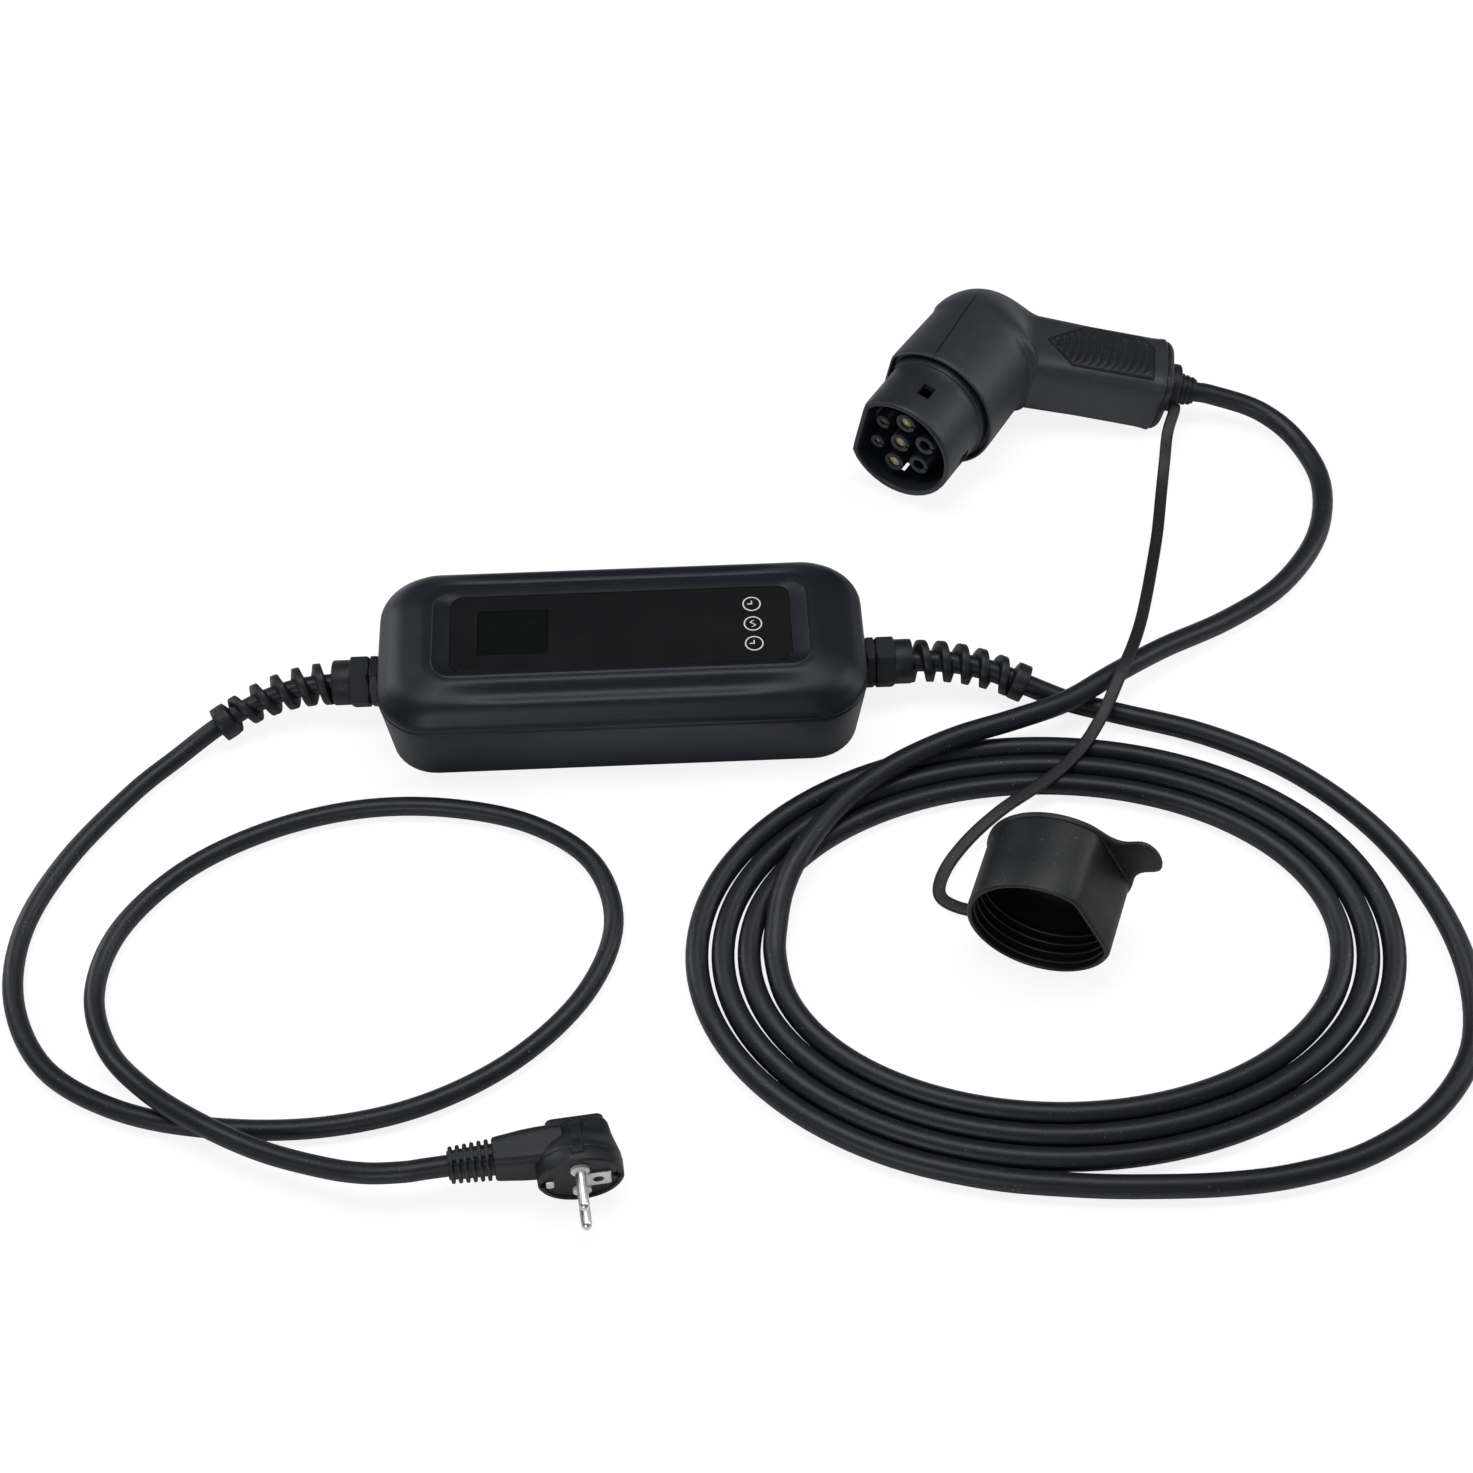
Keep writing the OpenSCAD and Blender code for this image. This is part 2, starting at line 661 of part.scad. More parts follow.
// Earth socket plate on one side of the face and earth clip on the other
socket_t = 2;
socket_y = 10;
socket_d = 4.8;
clip_y = 14.5;
module plug_earth_socket() {
    color(metal_grey) at_plug() difference() {
        translate([-socket_t - 6 + eps, socket_y - 8 + fit, -5.5 + fit]) cube([socket_t + 6.4, 10.5 - 2 * fit, 11 - 2 * fit]);
        translate([0, socket_y - 2, 0]) rod_x(socket_d, -5, 2);
    }
}

module plug_earth_clip() {
    color(metal_grey) at_plug() translate([-5 + eps, -clip_y - 2 + fit, -3 + fit])
        cube([5.5, 3.5 - 2 * fit, 6 - 2 * fit]);
}

// The connector lies on the side of its hood and the end of its handle, with its nose level:
// its own frame has the nose along X and the flat of the nose up
hood_flat_l = 46;
hood_edge = 4;
hood_taper = 1;
knuckle_x = 56;
knuckle_r = 29;
handle_tilt = 26;
handle_top = [-57, 0, -6];
handle_corner = 12;
hood_r = nose_r + hood_step;
handle_axis_dir = [-sin(handle_tilt), 0, -cos(handle_tilt)];
function handle_axis(t) = handle_top + t * handle_axis_dir;
heel = handle_axis(handle_l) + ((handle_d - 3) / 2 - handle_corner) * [cos(handle_tilt), 0, -sin(handle_tilt)];
taper_rate = hood_taper / (hood_flat_l - hood_edge);
heel_reach = norm([handle_w / 2, heel[2] + nose_drop]);
heel_hood_r = hood_r - taper_rate * (-heel[0] - hood_edge);
lean = asin(heel_hood_r / heel_reach) - atan(handle_w / 2 / -(heel[2] + nose_drop));
connector_turn = 235;
connector_pitch = -atan(taper_rate);
connector_roll = 90 - lean;
connector_at = [172, 164, hood_r + taper_rate * hood_edge + nose_drop * sin(lean)];
function connector_point(p) = connector_at
    + turn_z(turn_y(turn_x(p, connector_roll), connector_pitch), connector_turn);
module at_connector() {
    translate(connector_at) rotate([0, 0, connector_turn]) rotate([0, connector_pitch, 0])
        rotate([connector_roll, 0, 0]) children();
}

// D-shaped nose with a window in each side
nose_back = 8;
carrier_t = 4;
window = [9, 7];
window_x = 15;
module connector_nose() {
    color(shell_black) at_connector() difference() {
        nose_bar(0, -nose_back, nose_l);
        nose_bar(-nose_wall, 0, nose_l + 1);
        for (a = [0 : 90 : 270]) rotate([a, 0, 0])
            translate([window_x, -window[1] / 2, nose_flat - nose_wall - 3]) cube([window[0], window[1], 20]);
    }
}

// Contact sleeves on one plate: seven, with a small slot under each
sleeve_end = nose_l - 5;
lip = 1.8;
power_bore = 7.6;
signal_bore = 4.6;
module contact_sleeve(at, d, bore, mouth) {
    translate([0, at[0], at[1]]) difference() {
        rod_x(d, carrier_t - 1, sleeve_end);
        rod_x(bore, carrier_t - 2, sleeve_end - lip);
        rod_x(mouth, carrier_t + 2, sleeve_end + 1);
        translate([sleeve_end - 9, -0.7, -d]) cube([10, 1.4, d - bore / 2 + 1]);
    }
}

module contact_carrier() {
    color(shell_black) at_connector() {
        nose_bar(-nose_wall - fit, eps, carrier_t);
        for (at = [line_at, neutral_at, [0, 0]]) contact_sleeve(at, sleeve_power_d, power_bore, 6.4);
        for (at = spare_at) contact_sleeve(at, sleeve_power_d, 6.8, 6.2);
        for (at = [pilot_at, proximity_at]) contact_sleeve(at, sleeve_signal_d, signal_bore, 3.4);
    }
}

// Socket contact inside a sleeve
contact_depth = 22;
module contact(at, bore, pin) {
    end = sleeve_end - lip - fit;
    color(brass) at_connector() translate([0, at[0], at[1]]) difference() {
        rod_x(bore - 2 * fit, carrier_t + eps, end);
        rod_x(pin, end - contact_depth, end + 1);
    }
}

module contact_line() { contact(line_at, power_bore, 6); }
module contact_neutral() { contact(neutral_at, power_bore, 6); }
module contact_earth() { contact([0, 0], power_bore, 6); }
module contact_pilot() { contact(pilot_at, signal_bore, 3); }
module contact_proximity() { contact(proximity_at, signal_bore, 3); }

// Hood and handle share one envelope, split by a sloping seam
seam_front = 6;
seam_rear = 16;
module hood_envelope() {
    difference() {
        hull() {
            nose_bar(hood_step, -hood_edge, 0);
            nose_bar(hood_step - hood_taper, -hood_flat_l, -hood_flat_l + 1);
            for (y = [-1, 1]) translate([-knuckle_x, y * 6, -1]) sphere(r = knuckle_r, $fn = 32);
        }
        nose_bar(fit, -nose_back - fit, 1);
    }
}

// Everything above the seam, moved up by rise
module above_seam(rise) {
    rotate([90, 0, 0]) linear_extrude(160, center = true)
        polygon([[5, seam_front + rise], [-110, seam_rear + rise], [-110, 90], [5, 90]]);
}

module connector_hood() {
    color(shell_black) at_connector() intersection() {
        hood_envelope();
        above_seam(gap / 2);
    }
}

// Places a part on the handle axis, with Z pointing down the handle
module on_handle() {
    translate(handle_top) rotate([0, 180 + handle_tilt, 0]) children();
}

module connector_handle() {
    color(shell_black) at_connector() difference() {
        union() {
            difference() {
                hood_envelope();
                above_seam(-gap / 2);
            }
            difference() {
                on_handle() hull() {
                    linear_extrude(1) round_rect(handle_d, handle_w - 3, handle_corner);
                    translate([0, 0, handle_l - 1]) linear_extrude(1) round_rect(handle_d - 3, handle_w, handle_corner);
                }
                above_seam(-gap / 2);
                nose_bar(hood_step + 2, -30, 20);
            }
        }
        for (s = [-1, 1]) grip_pocket(s, fit, 1);
    }
}

// Ribbed soft pads let into the sides of the handle
grip_from = 30;
grip_to = 90;
grip_half = 15;
grip_t = 1.4;
module grip_outline(grow) {
    polygon([[-grip_half - grow, grip_from + 14], [0, grip_from - grow], [grip_half + grow, grip_from + 22],
        [grip_half + grow, grip_to - 8], [grip_half - 8, grip_to + grow], [-grip_half - grow, grip_to + grow]]);
}

module grip_pocket(s, grow, over) {
    on_handle() translate([0, s * (handle_w / 2 - 1.5 - grip_t), 0])
        rotate([s * -90, 0, 0]) mirror([0, s > 0 ? 1 : 0, 0])
        linear_extrude(grip_t + 1.5 + over) grip_outline(grow);
}

module grip(s) {
    color(rubber_black) at_connector() grip_pocket(s, -fit, -1);
}

module grip_left() { grip(1); }
module grip_right() { grip(-1); }

// Plate that closes the handle, boot round the cable, and ring of the cap strap
end_cap_t = 5;
boot_seat = 7;
boot_l = 9;
boot_d = 20;
module handle_end_cap() {
    color(rubber_black) at_connector() on_handle() difference() {
        hull() {
            translate([0, 0, handle_l + eps]) linear_extrude(1) round_rect(handle_d - 4, handle_w - 1, handle_corner);
            translate([0, 0, handle_l + end_cap_t - 1]) linear_extrude(1) round_rect(handle_d - 10, handle_w - 7, handle_corner);
        }
        translate([0, 0, handle_l - 1]) cylinder(d = vehicle_d + 4 * fit, h = end_cap_t + 2);
    }
}

module cable_boot() {
    color(rubber_black) at_connector() on_handle() translate([0, 0, handle_l + end_cap_t]) difference() {
        union() {
            cylinder(d = boot_d, h = boot_seat);
            translate([0, 0, boot_seat - eps]) cylinder(d1 = boot_d - 2, d2 = vehicle_d + 4, h = boot_l);
        }
        translate([0, 0, -1]) cylinder(d = vehicle_d + 4 * fit, h = boot_seat + boot_l + 2);
    }
}

module strap_ring() {
    color(rubber_black) at_connector() on_handle() translate([0, 0, handle_l + end_cap_t]) difference() {
        cylinder(r = ring_r, h = boot_seat - 1);
        translate([0, 0, -1]) cylinder(d = boot_d + 2 * fit, h = boot_seat + 2);
    }
}

// Flat strap from the ring to the cap, lying along the cable and over the coil
strap_z = strap_t / 2 + lift;
over_coil = vehicle_d + strap_t / 2 + 2 * lift;
over_tail = over_z + vehicle_d / 2 + strap_t / 2 + 0.8;
strap_table = [
    [307, 161, 14], [304, 146, 6], [300, 128, strap_z + 0.6], [293, 98, strap_z], [285, 70, strap_z + 2],
    [277, 44, 10], [269, 20, over_tail - 5], [261, 0, over_tail], [252, -18, over_tail], [242, -36, over_coil + 5],
    [230, -53, over_coil + 1], [215, -68, over_coil], [200, -79, over_coil], [184, -90, over_coil - 0.4],
    [168, -102, 7.5], [155, -116, 2.6], [150, -130, strap_z], [157, -138, strap_z]
];
ring_r = boot_d / 2 + 3.5;
function ring_point(r) = connector_point(handle_axis(handle_l + end_cap_t + strap_w / 2 + gap)
    + r * [cos(handle_tilt), 0, -sin(handle_tilt)]);
// A point beside the lower left of the cap, at distance r from its axis
function cap_point(r) = [cap_at[0], cap_at[1], cap_z]
    + turn_z(turn_y([cap_depth / 2, -r * cos(strap_rise), -r * sin(strap_rise)], cap_tilt), cap_turn);
strap_rise = 51;
module cap_strap() {
    h = strap_t / 2;
    w = strap_w / 2;
    section = [[w, h / 2], [w - 0.7, h], [0.7 - w, h], [-w, h / 2], [-w, -h / 2], [0.7 - w, -h], [w - 0.7, -h], [w, -h / 2]];
    starting = [for (r = [fit, 4]) ring_point(ring_r + r)];
    ending = [for (r = [7, 2 * fit]) cap_point(cap_r + r)];
    color(rubber_black) sweep(concat(starting, strap_table, ending), section, 2);
}

// The cap lies on its round side: its own frame has the open end along X and its flat side along Z
cap_at = [205, -135];
cap_turn = 248;
cap_roll = -60;
cap_lip = 1;
cap_floor = 3;
cap_r = nose_r + cap_fit + cap_wall;
cap_tilt = atan(cap_lip / (cap_depth - cap_floor));
cap_z = cap_floor * sin(cap_tilt) + (cap_r + cap_lip) * cos(cap_tilt);
tab_l = 20;
tab_w = 24;
module at_cap() {
    translate([cap_at[0], cap_at[1], cap_z]) rotate([0, 0, cap_turn]) rotate([0, cap_tilt, 0])
        rotate([cap_roll, 0, 0]) translate([0, 0, nose_drop]) children();
}

module dust_cap() {
    outer = cap_fit + cap_wall;
    color(rubber_black) at_cap() difference() {
        union() {
            nose_bar(outer, 0, cap_depth);
            nose_bar(outer + cap_lip, 0, cap_floor);
            translate([cap_floor / 2, 0, nose_flat]) rotate([0, 90, 0])
                linear_extrude(cap_floor, center = true) translate([-tab_l / 2 - 1, 0]) round_rect(tab_l + 8, tab_w, 10);
        }
        difference() {
            nose_bar(cap_fit, cap_floor, cap_depth + 1);
            for (i = [0 : 3]) difference() {
                nose_bar(cap_fit + 1, cap_depth - 6 - i * 5, cap_depth - 5 - i * 5);
                nose_bar(cap_fit - 0.5, cap_depth - 7 - i * 5, cap_depth - 4 - i * 5);
            }
        }
    }
}

box_base();
box_cover();
cover_seal();
front_panel();
display_window();
display_module();
touch_pads();
display_board();
power_board();
main_relays();
supply_module();
leakage_sensor();
capacitors();
mains_terminals();
vehicle_terminals();
cover_screws();
mains_gland_body();
mains_gland_seal();
mains_gland_nut();
mains_gland_locknut();
vehicle_gland_body();
vehicle_gland_seal();
vehicle_gland_nut();
vehicle_gland_locknut();
mains_cable();
vehicle_cable_lead();
vehicle_cable_coil();
vehicle_cable_tail();
plug_body();
plug_pins();
plug_collars();
plug_earth_socket();
plug_earth_clip();
connector_nose();
contact_carrier();
contact_line();
contact_neutral();
contact_earth();
contact_pilot();
contact_proximity();
connector_hood();
connector_handle();
grip_left();
grip_right();
handle_end_cap();
cable_boot();
strap_ring();
cap_strap();
dust_cap();
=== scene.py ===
import json
import bmesh
import bpy
import numpy as np
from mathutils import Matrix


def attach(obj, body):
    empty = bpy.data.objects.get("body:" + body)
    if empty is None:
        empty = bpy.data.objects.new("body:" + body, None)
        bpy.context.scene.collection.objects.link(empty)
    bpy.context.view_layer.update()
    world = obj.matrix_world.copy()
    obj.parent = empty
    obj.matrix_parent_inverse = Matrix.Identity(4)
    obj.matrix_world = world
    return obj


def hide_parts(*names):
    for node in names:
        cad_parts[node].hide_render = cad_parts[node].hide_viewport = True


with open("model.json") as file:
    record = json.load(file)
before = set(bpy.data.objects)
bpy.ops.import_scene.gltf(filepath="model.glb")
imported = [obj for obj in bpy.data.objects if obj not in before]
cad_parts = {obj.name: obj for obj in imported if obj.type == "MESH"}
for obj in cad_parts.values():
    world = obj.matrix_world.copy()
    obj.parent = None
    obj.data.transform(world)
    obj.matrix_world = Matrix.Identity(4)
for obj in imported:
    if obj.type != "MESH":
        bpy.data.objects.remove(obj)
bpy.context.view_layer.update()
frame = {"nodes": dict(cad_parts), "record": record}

# Lengths below are in millimetres, in the frame of the part; MM turns them into metres.
MM = 0.001

# Control box
BOX_L, BOX_W, BOX_H, BASE_H, SEAL_T = 245.0, 100.0, 56.0, 38.0, 1.0
CORNER_R, DRAFT, FOOT_R = 28.0, 4.0, 2.5
SLOPE_L, SLOPE_W, SCOOP, SCOOP_FROM, SCOOP_FADE = 25.0, 19.0, 1.4, 55.0, 40.0
PANEL_L, PANEL_W, PANEL_T, PANEL_SINK, PANEL_CORNER = 170.0, 48.0, 1.2, 1.2, 6.0
RAMP_L, RAMP_W = 8.0, 3.0
LCD_L, LCD_W, LCD_X = 35.0, 28.0, -54.0
KEY_X, KEY_PITCH, KEY_RING_R, KEY_LINE = 66.0, 12.8, 4.3, 0.32

# Glands
GLAND_Z, HEX_AF, SLEEVE_D, PAD_X = 20.0, 24.0, 23.0, 123.5
BODY_HEX, NUT_END, SLEEVE_END = 5.0, 15.0, 24.0
SPIRAL_TURNS, GUARD_FROM, GUARD_TO, COLLAR_FROM = 5.5, 1.95, 4.65, 4.5
SPAN_STEPS, TURN_STEPS = 200, 36

# Cables
MAINS_D, VEHICLE_D, LIFT = 9.6, 11.0, 0.15
MZ = MAINS_D / 2 + LIFT
VZ = VEHICLE_D / 2 + LIFT
OVER_Z = 1.5 * VEHICLE_D + 0.1
MAINS_EXIT = [(-14, 0, 0), (4, 0, 0), (24, 0, 0), (44, -2, -1), (64, -8, -4.5), (83, -18, -9.5)]
VEHICLE_EXIT = [(-14, 0, 0), (4, 0, 0), (24, 0, 0), (44, -1, -1), (64, -5, -4), (83, -12, -8.5)]
MAINS_TABLE = [
    (-226, -33, MZ + 1), (-247, -54, MZ), (-274, -92, MZ), (-290, -132, MZ), (-289, -172, MZ),
    (-270, -208, MZ), (-234, -231, MZ), (-190, -242, MZ), (-142, -244, MZ), (-96, -235, MZ),
    (-54, -213, MZ), (-22, -180, MZ), (-8, -142, MZ), (-18, -106, MZ), (-48, -82, MZ), (-90, -70, MZ),
    (-134, -69, MZ), (-178, -80, MZ), (-217, -102, MZ), (-244, -134, MZ), (-252, -168, MZ),
    (-242, -200, MZ + 2), (-220, -226, MZ + 8), (-194, -245, MZ + 10.4), (-166, -259, 13.8),
    (-138, -269, 15), (-119, -274, 17.6)]
LEAD_TABLE = [
    (228, -20, VZ + 1), (252, -28, VZ), (295, -44, VZ), (335, -69, VZ), (368, -106, VZ), (388, -150, VZ),
    (394, -192, VZ), (386, -230, VZ), (362, -260, VZ), (328, -280, VZ), (294, -289, VZ), (262, -292, VZ)]
COIL_CENTRE, COIL_A, COIL_B, COIL_PITCH_X, COIL_PITCH_Y = (200.0, -165.0), 172.0, 123.0, 12.4, 11.3
COIL_FROM, COIL_TO, COIL_STEP, COIL_OUTER = -105.0, -1260.1, -15.0, -95.0
TAIL_TABLE = [
    (84, -112, OVER_Z), (104, -86, OVER_Z), (132, -64, OVER_Z), (164, -48, OVER_Z), (196, -38, OVER_Z + 0.4),
    (224, -28, OVER_Z + 1), (250, -12, OVER_Z + 1), (280, 8, 13), (318, 30, 7), (352, 54, VZ),
    (378, 88, VZ), (388, 126, VZ + 0.4), (380, 158, 8), (362, 178, 11.8)]
STRAP_W, STRAP_T, LOOP_W = 6.4, 2.6, 9.0
SZ = STRAP_T / 2 + LIFT
STRAP_TABLE = [
    (307, 161, 14), (304, 146, 6), (300, 128, SZ + 0.6), (293, 98, SZ), (285, 70, SZ + 2), (277, 44, 10),
    (269, 20, 19.2), (261, 0, 24.2), (252, -18, 24.2), (242, -36, 17.6), (230, -53, 13.6), (215, -68, 12.6),
    (200, -79, 12.6), (184, -90, 12.2), (168, -102, 7.5), (155, -116, 2.6), (150, -130, SZ), (157, -138, SZ)]

# Mains plug
PLUG_R, PLUG_TURN, PLUG_NECK_X, BOOT_END = 19.3, -84.0, 16.0, 57.0
PLUG_AT = (-24.0, -283.0, PLUG_R)
PIN_R, PIN_Z, NOTCH_R = 2.4, 9.5, 16.0
OBLONG_Y, OBLONG_Z, OBLONG_FROM, OBLONG_RUN = 15.2, 8.2, 7.0, 17.0

# Vehicle connector, lying on its side
NOSE_R, NOSE_FLAT, NOSE_L, NOSE_WALL, NOSE_DROP = 31.5, 24.0, 38.0, 3.2, 1.5
HANDLE_TILT, HANDLE_L, HANDLE_TOP = 26.0, 98.0, np.array([-57.0, 0.0, -6.0])
ELBOW, HANDLE_POWER = np.array([-47.0, 0.0, -39.0]), 4.5
HOOD_HALF, HANDLE_HALF, HOOD_DEEP, HANDLE_DEEP = 36.0, 19.6, 68.5, 46.0
TAPER_FROM, TAPER_AT, WIDER = 25.0, [0, 0.4, 1], [1, 1, 1.03]
GRIP_FROM, GRIP_TO, GRIP_PITCH, GRIP_RISE = 30.4, 89.6, 4.3, 0.75
END_CAP_T, BOOT_D = 5.0, 20.0
POWER_Y, SPARE_Y, SPARE_Z, SIGNAL_Y, SIGNAL_Z = 16.0, 8.0, -13.9, 8.0, 12.6
CONNECTOR_AT = np.array([172.0, 164.0, 37.32])
CONNECTOR_TURN, CONNECTOR_PITCH, CONNECTOR_ROLL = 235.0, -1.364, 81.27

# Dust cap
CAP_AT, CAP_TURN, CAP_ROLL, CAP_DEPTH = (205.0, -135.0), 248.0, -60.0, 42.0
CAP_FIT, CAP_WALL, CAP_LIP, CAP_FLOOR = 0.6, 2.6, 1.0, 3.0

# View: the photograph's width and the focal length in pixels, the camera's place in metres, and the
# distances between which the floor turns white
PHOTO_PX, FOCAL_PX, SENSOR = 1473.0, 2300.0, 36.0
VIEW_AT, VIEW_TILT, VIEW_TURN = (0.0218, -0.7358, 0.9390), 53.0, -2.8
FADE_FROM, FADE_TO = 600.0, 1600.0

ACROSS = np.array([0.0, 1.0, 0.0])


def unit(v):
    """Each row of v divided by its own length."""
    return v / np.linalg.norm(v, axis=-1, keepdims=True)


def turn(axis, degrees):
    """Rotation matrix about one axis by the right-hand rule."""
    i, j = {"x": (1, 2), "y": (2, 0), "z": (0, 1)}[axis]
    a = np.radians(degrees)
    m = np.eye(3)
    m[i, i] = m[j, j] = np.cos(a)
    m[j, i] = np.sin(a)
    m[i, j] = -m[j, i]
    return m


def xyz(x, y, z):
    """Points from their three coordinates, each spread over the common shape."""
    return np.stack(np.broadcast_arrays(x, y, z), -1)


def moved(points, at, matrix):
    """Points turned by the matrix and then carried to a place."""
    return np.asarray(points, float) @ matrix.T + np.asarray(at, float)


CONNECTOR_M = turn("z", CONNECTOR_TURN) @ turn("y", CONNECTOR_PITCH) @ turn("x", CONNECTOR_ROLL)
HANDLE_DIR = np.array([-np.sin(np.radians(HANDLE_TILT)), 0.0, -np.cos(np.radians(HANDLE_TILT))])
HANDLE_FORE = np.array([-HANDLE_DIR[2], 0.0, HANDLE_DIR[0]])
PLUG_M = turn("z", PLUG_TURN)
CAP_R = NOSE_R + CAP_FIT + CAP_WALL
CAP_TILT = np.degrees(np.arctan(CAP_LIP / (CAP_DEPTH - CAP_FLOOR)))
CAP_Z = CAP_FLOOR * np.sin(np.radians(CAP_TILT)) + (CAP_R + CAP_LIP) * np.cos(np.radians(CAP_TILT))


def on_connector(points):
    """Points of the connector's own frame, nose along X, carried to where it lies."""
    return moved(points, CONNECTOR_AT, CONNECTOR_M)


def on_handle(t):
    """Places on the handle's axis, t from its top, in the connector's frame."""
    return HANDLE_TOP + np.atleast_1d(t)[:, None] * HANDLE_DIR


def off_handle(t, fore, aside):
    """Points t along the handle, so far in front of its axis and to its side, in the connector's frame."""
    return HANDLE_TOP + t[..., None] * HANDLE_DIR + fore[..., None] * HANDLE_FORE + aside[..., None] * ACROSS


def on_plug(points):
    """Points of the plug's own frame, pins along X and cable along -Y, carried to where it lies."""
    return moved(points, PLUG_AT, PLUG_M)


def spline(points, per):
    """Catmull-Rom curve through the points: per steps for each span, cubic in t, ends held."""
    p = np.asarray(points, float)
    u = np.linspace(0, len(p) - 1, (len(p) - 1) * per + 1)
    i = np.minimum(u.astype(int), len(p) - 2)
    t = (u - i)[:, None]
    a, b, c, d = p[np.maximum(i - 1, 0)], p[i], p[i + 1], p[np.minimum(i + 2, len(p) - 1)]
    square, cube = 2 * a - 5 * b + 4 * c - d, 3 * b - a - 3 * c + d
    return 0.5 * (2 * b + (c - a) * t + square * t ** 2 + cube * t ** 3)


def frames(path):
    """Direction, side and up of a path: the side lies level, and up is across both."""
    along = unit(np.gradient(path, axis=0))
    side = unit(np.cross(along, (0.0, 0.0, 1.0)))
    return along, side, np.cross(side, along)


def carried(path, section):
    """Rings of a section (level, upright) carried along a path; the section may change from ring to ring."""
    _, side, up = frames(path)
    s = np.broadcast_to(section, (len(path),) + np.shape(section)[-2:])
    return path[:, None] + s[..., :1] * side[:, None] + s[..., 1:] * up[:, None]


def circle(n, start=0.0):
    """n points round the unit circle."""
    a = start + np.arange(n) * 2 * np.pi / n
    return np.stack([np.cos(a), np.sin(a)], -1)


def skin(rings, caps=True, closed=True):
    """A surface through rings of points: quads between neighbours, and a flat face over each open end."""
    rows, cols = rings.shape[:2]
    r = np.arange(rows - 1)[:, None]
    c = np.arange(cols if closed else cols - 1)[None]
    a, b = r * cols + c, r * cols + (c + 1) % cols
    faces = np.stack([a, b, b + cols, a + cols], -1).reshape(-1, 4).tolist()
    if caps:
        faces += [list(range(cols))[::-1], list(range((rows - 1) * cols, rows * cols))]
    return rings.reshape(-1, 3), faces


def build(name, patches, finish, replaces=(), crease=35.0):
    """One mesh piece from patches of points and faces: doubles merged, normals out, sharp past the crease."""
    points, faces, start = [], [], 0
    for verts, polys in patches:
        points.append(verts)
        faces += [[k + start for k in f] for f in polys]
        start += len(verts)
    mesh = bpy.data.meshes.new(name)
    mesh.from_pydata((np.concatenate(points) * MM).tolist(), [], faces)
    work = bmesh.new()
    work.from_mesh(mesh)
    bmesh.ops.remove_doubles(work, verts=work.verts, dist=1e-6)
    bmesh.ops.dissolve_degenerate(work, edges=work.edges, dist=1e-7)
    bmesh.ops.recalc_face_normals(work, faces=work.faces)
    for f in work.faces:
        f.smooth = True
    for e in work.edges:
        e.smooth = e.calc_face_angle(0.0) < np.radians(crease)
    work.to_mesh(mesh)
    work.free()
    mesh.materials.append(finish)
    piece = bpy.data.objects.new(name, mesh)
    bpy.context.scene.collection.objects.link(piece)
    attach(piece, "root")
    if replaces:
        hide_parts(*replaces)
    return piece


def operator(operation, swapped=False):
    """A method that feeds its values to one math node, the last of them first if swapped."""
    def apply(*values):
        ordered = values[::-1] if swapped else values
        return values[0].finish.node("ShaderNodeMath", {"operation": operation}, dict(enumerate(ordered)))
    return apply


class Field:
    """A socket of a finish that takes part in plain arithmetic."""

    def __init__(self, finish, socket):
        self.finish, self.socket = finish, socket

    __add__ = __radd__ = operator("ADD")
    __mul__ = __rmul__ = operator("MULTIPLY")
    __sub__, __rsub__ = operator("SUBTRACT"), operator("SUBTRACT", True)
    __pow__, __rpow__ = operator("POWER"), operator("POWER", True)
    __lt__, __gt__, __abs__ = operator("LESS_THAN"), operator("GREATER_THAN"), operator("ABSOLUTE")


class Finish:
    """One material: node() adds any node, and set() feeds the surface."""

    def __init__(self, name):
        self.material = bpy.data.materials.new(name)
        self.material.use_nodes = True
        self.tree = self.material.node_tree
        self.surface = self.tree.nodes["Principled BSDF"]

    def node(self, kind, settings=(), inputs=(), output=0):
        """A node of that kind with its settings and its inputs, values or links; one output as a Field."""
        made = self.tree.nodes.new(kind)
        for key, value in dict(settings).items():
            setattr(made, key, value)
        for key, value in dict(inputs).items():
            if isinstance(value, Field):
                self.tree.links.new(value.socket, made.inputs[key])
            else:
                made.inputs[key].default_value = value
        return Field(self, made.outputs[output])

    def place(self, scale=(1.0, 1.0, 1.0)):
        """Object coordinates in millimetres, stretched by scale."""
        here = self.node("ShaderNodeTexCoord", output="Object")
        size = tuple(1000.0 * s for s in scale)
        return self.node("ShaderNodeMapping", {}, {"Vector": here, "Scale": size})

    def noise(self, size, detail=3.0, rough=0.5, where=None):
        """Noise whose features are about size millimetres across, from 0 to 1."""
        return self.node("ShaderNodeTexNoise", {}, {
            "Vector": where or self.place(), "Scale": 1.0 / size, "Detail": detail, "Roughness": rough})

    def blend(self, factor, a, b):
        """Colour a where the factor is 0 and b where it is 1."""
        sockets = {"Factor": factor, 6: a + (1.0,) if isinstance(a, tuple) else a,
                   7: b + (1.0,) if isinstance(b, tuple) else b}
        return self.node("ShaderNodeMix", {"data_type": "RGBA"}, sockets, 2)

    def bump(self, height, depth, strength=1.0):
        """A normal from a height field; depth is in millimetres."""
        return self.node("ShaderNodeBump", {}, {
            "Height": height, "Distance": depth * MM, "Strength": strength})

    def set(self, **values):
        """Feeds sockets of the surface; underscores in a name stand for spaces."""
        for key, value in values.items():
            socket = self.surface.inputs[key.replace("_", " ")]
            if isinstance(value, Field):
                self.tree.links.new(value.socket, socket)
            else:
                socket.default_value = value + (1.0,) if isinstance(value, tuple) else value
        return self.material


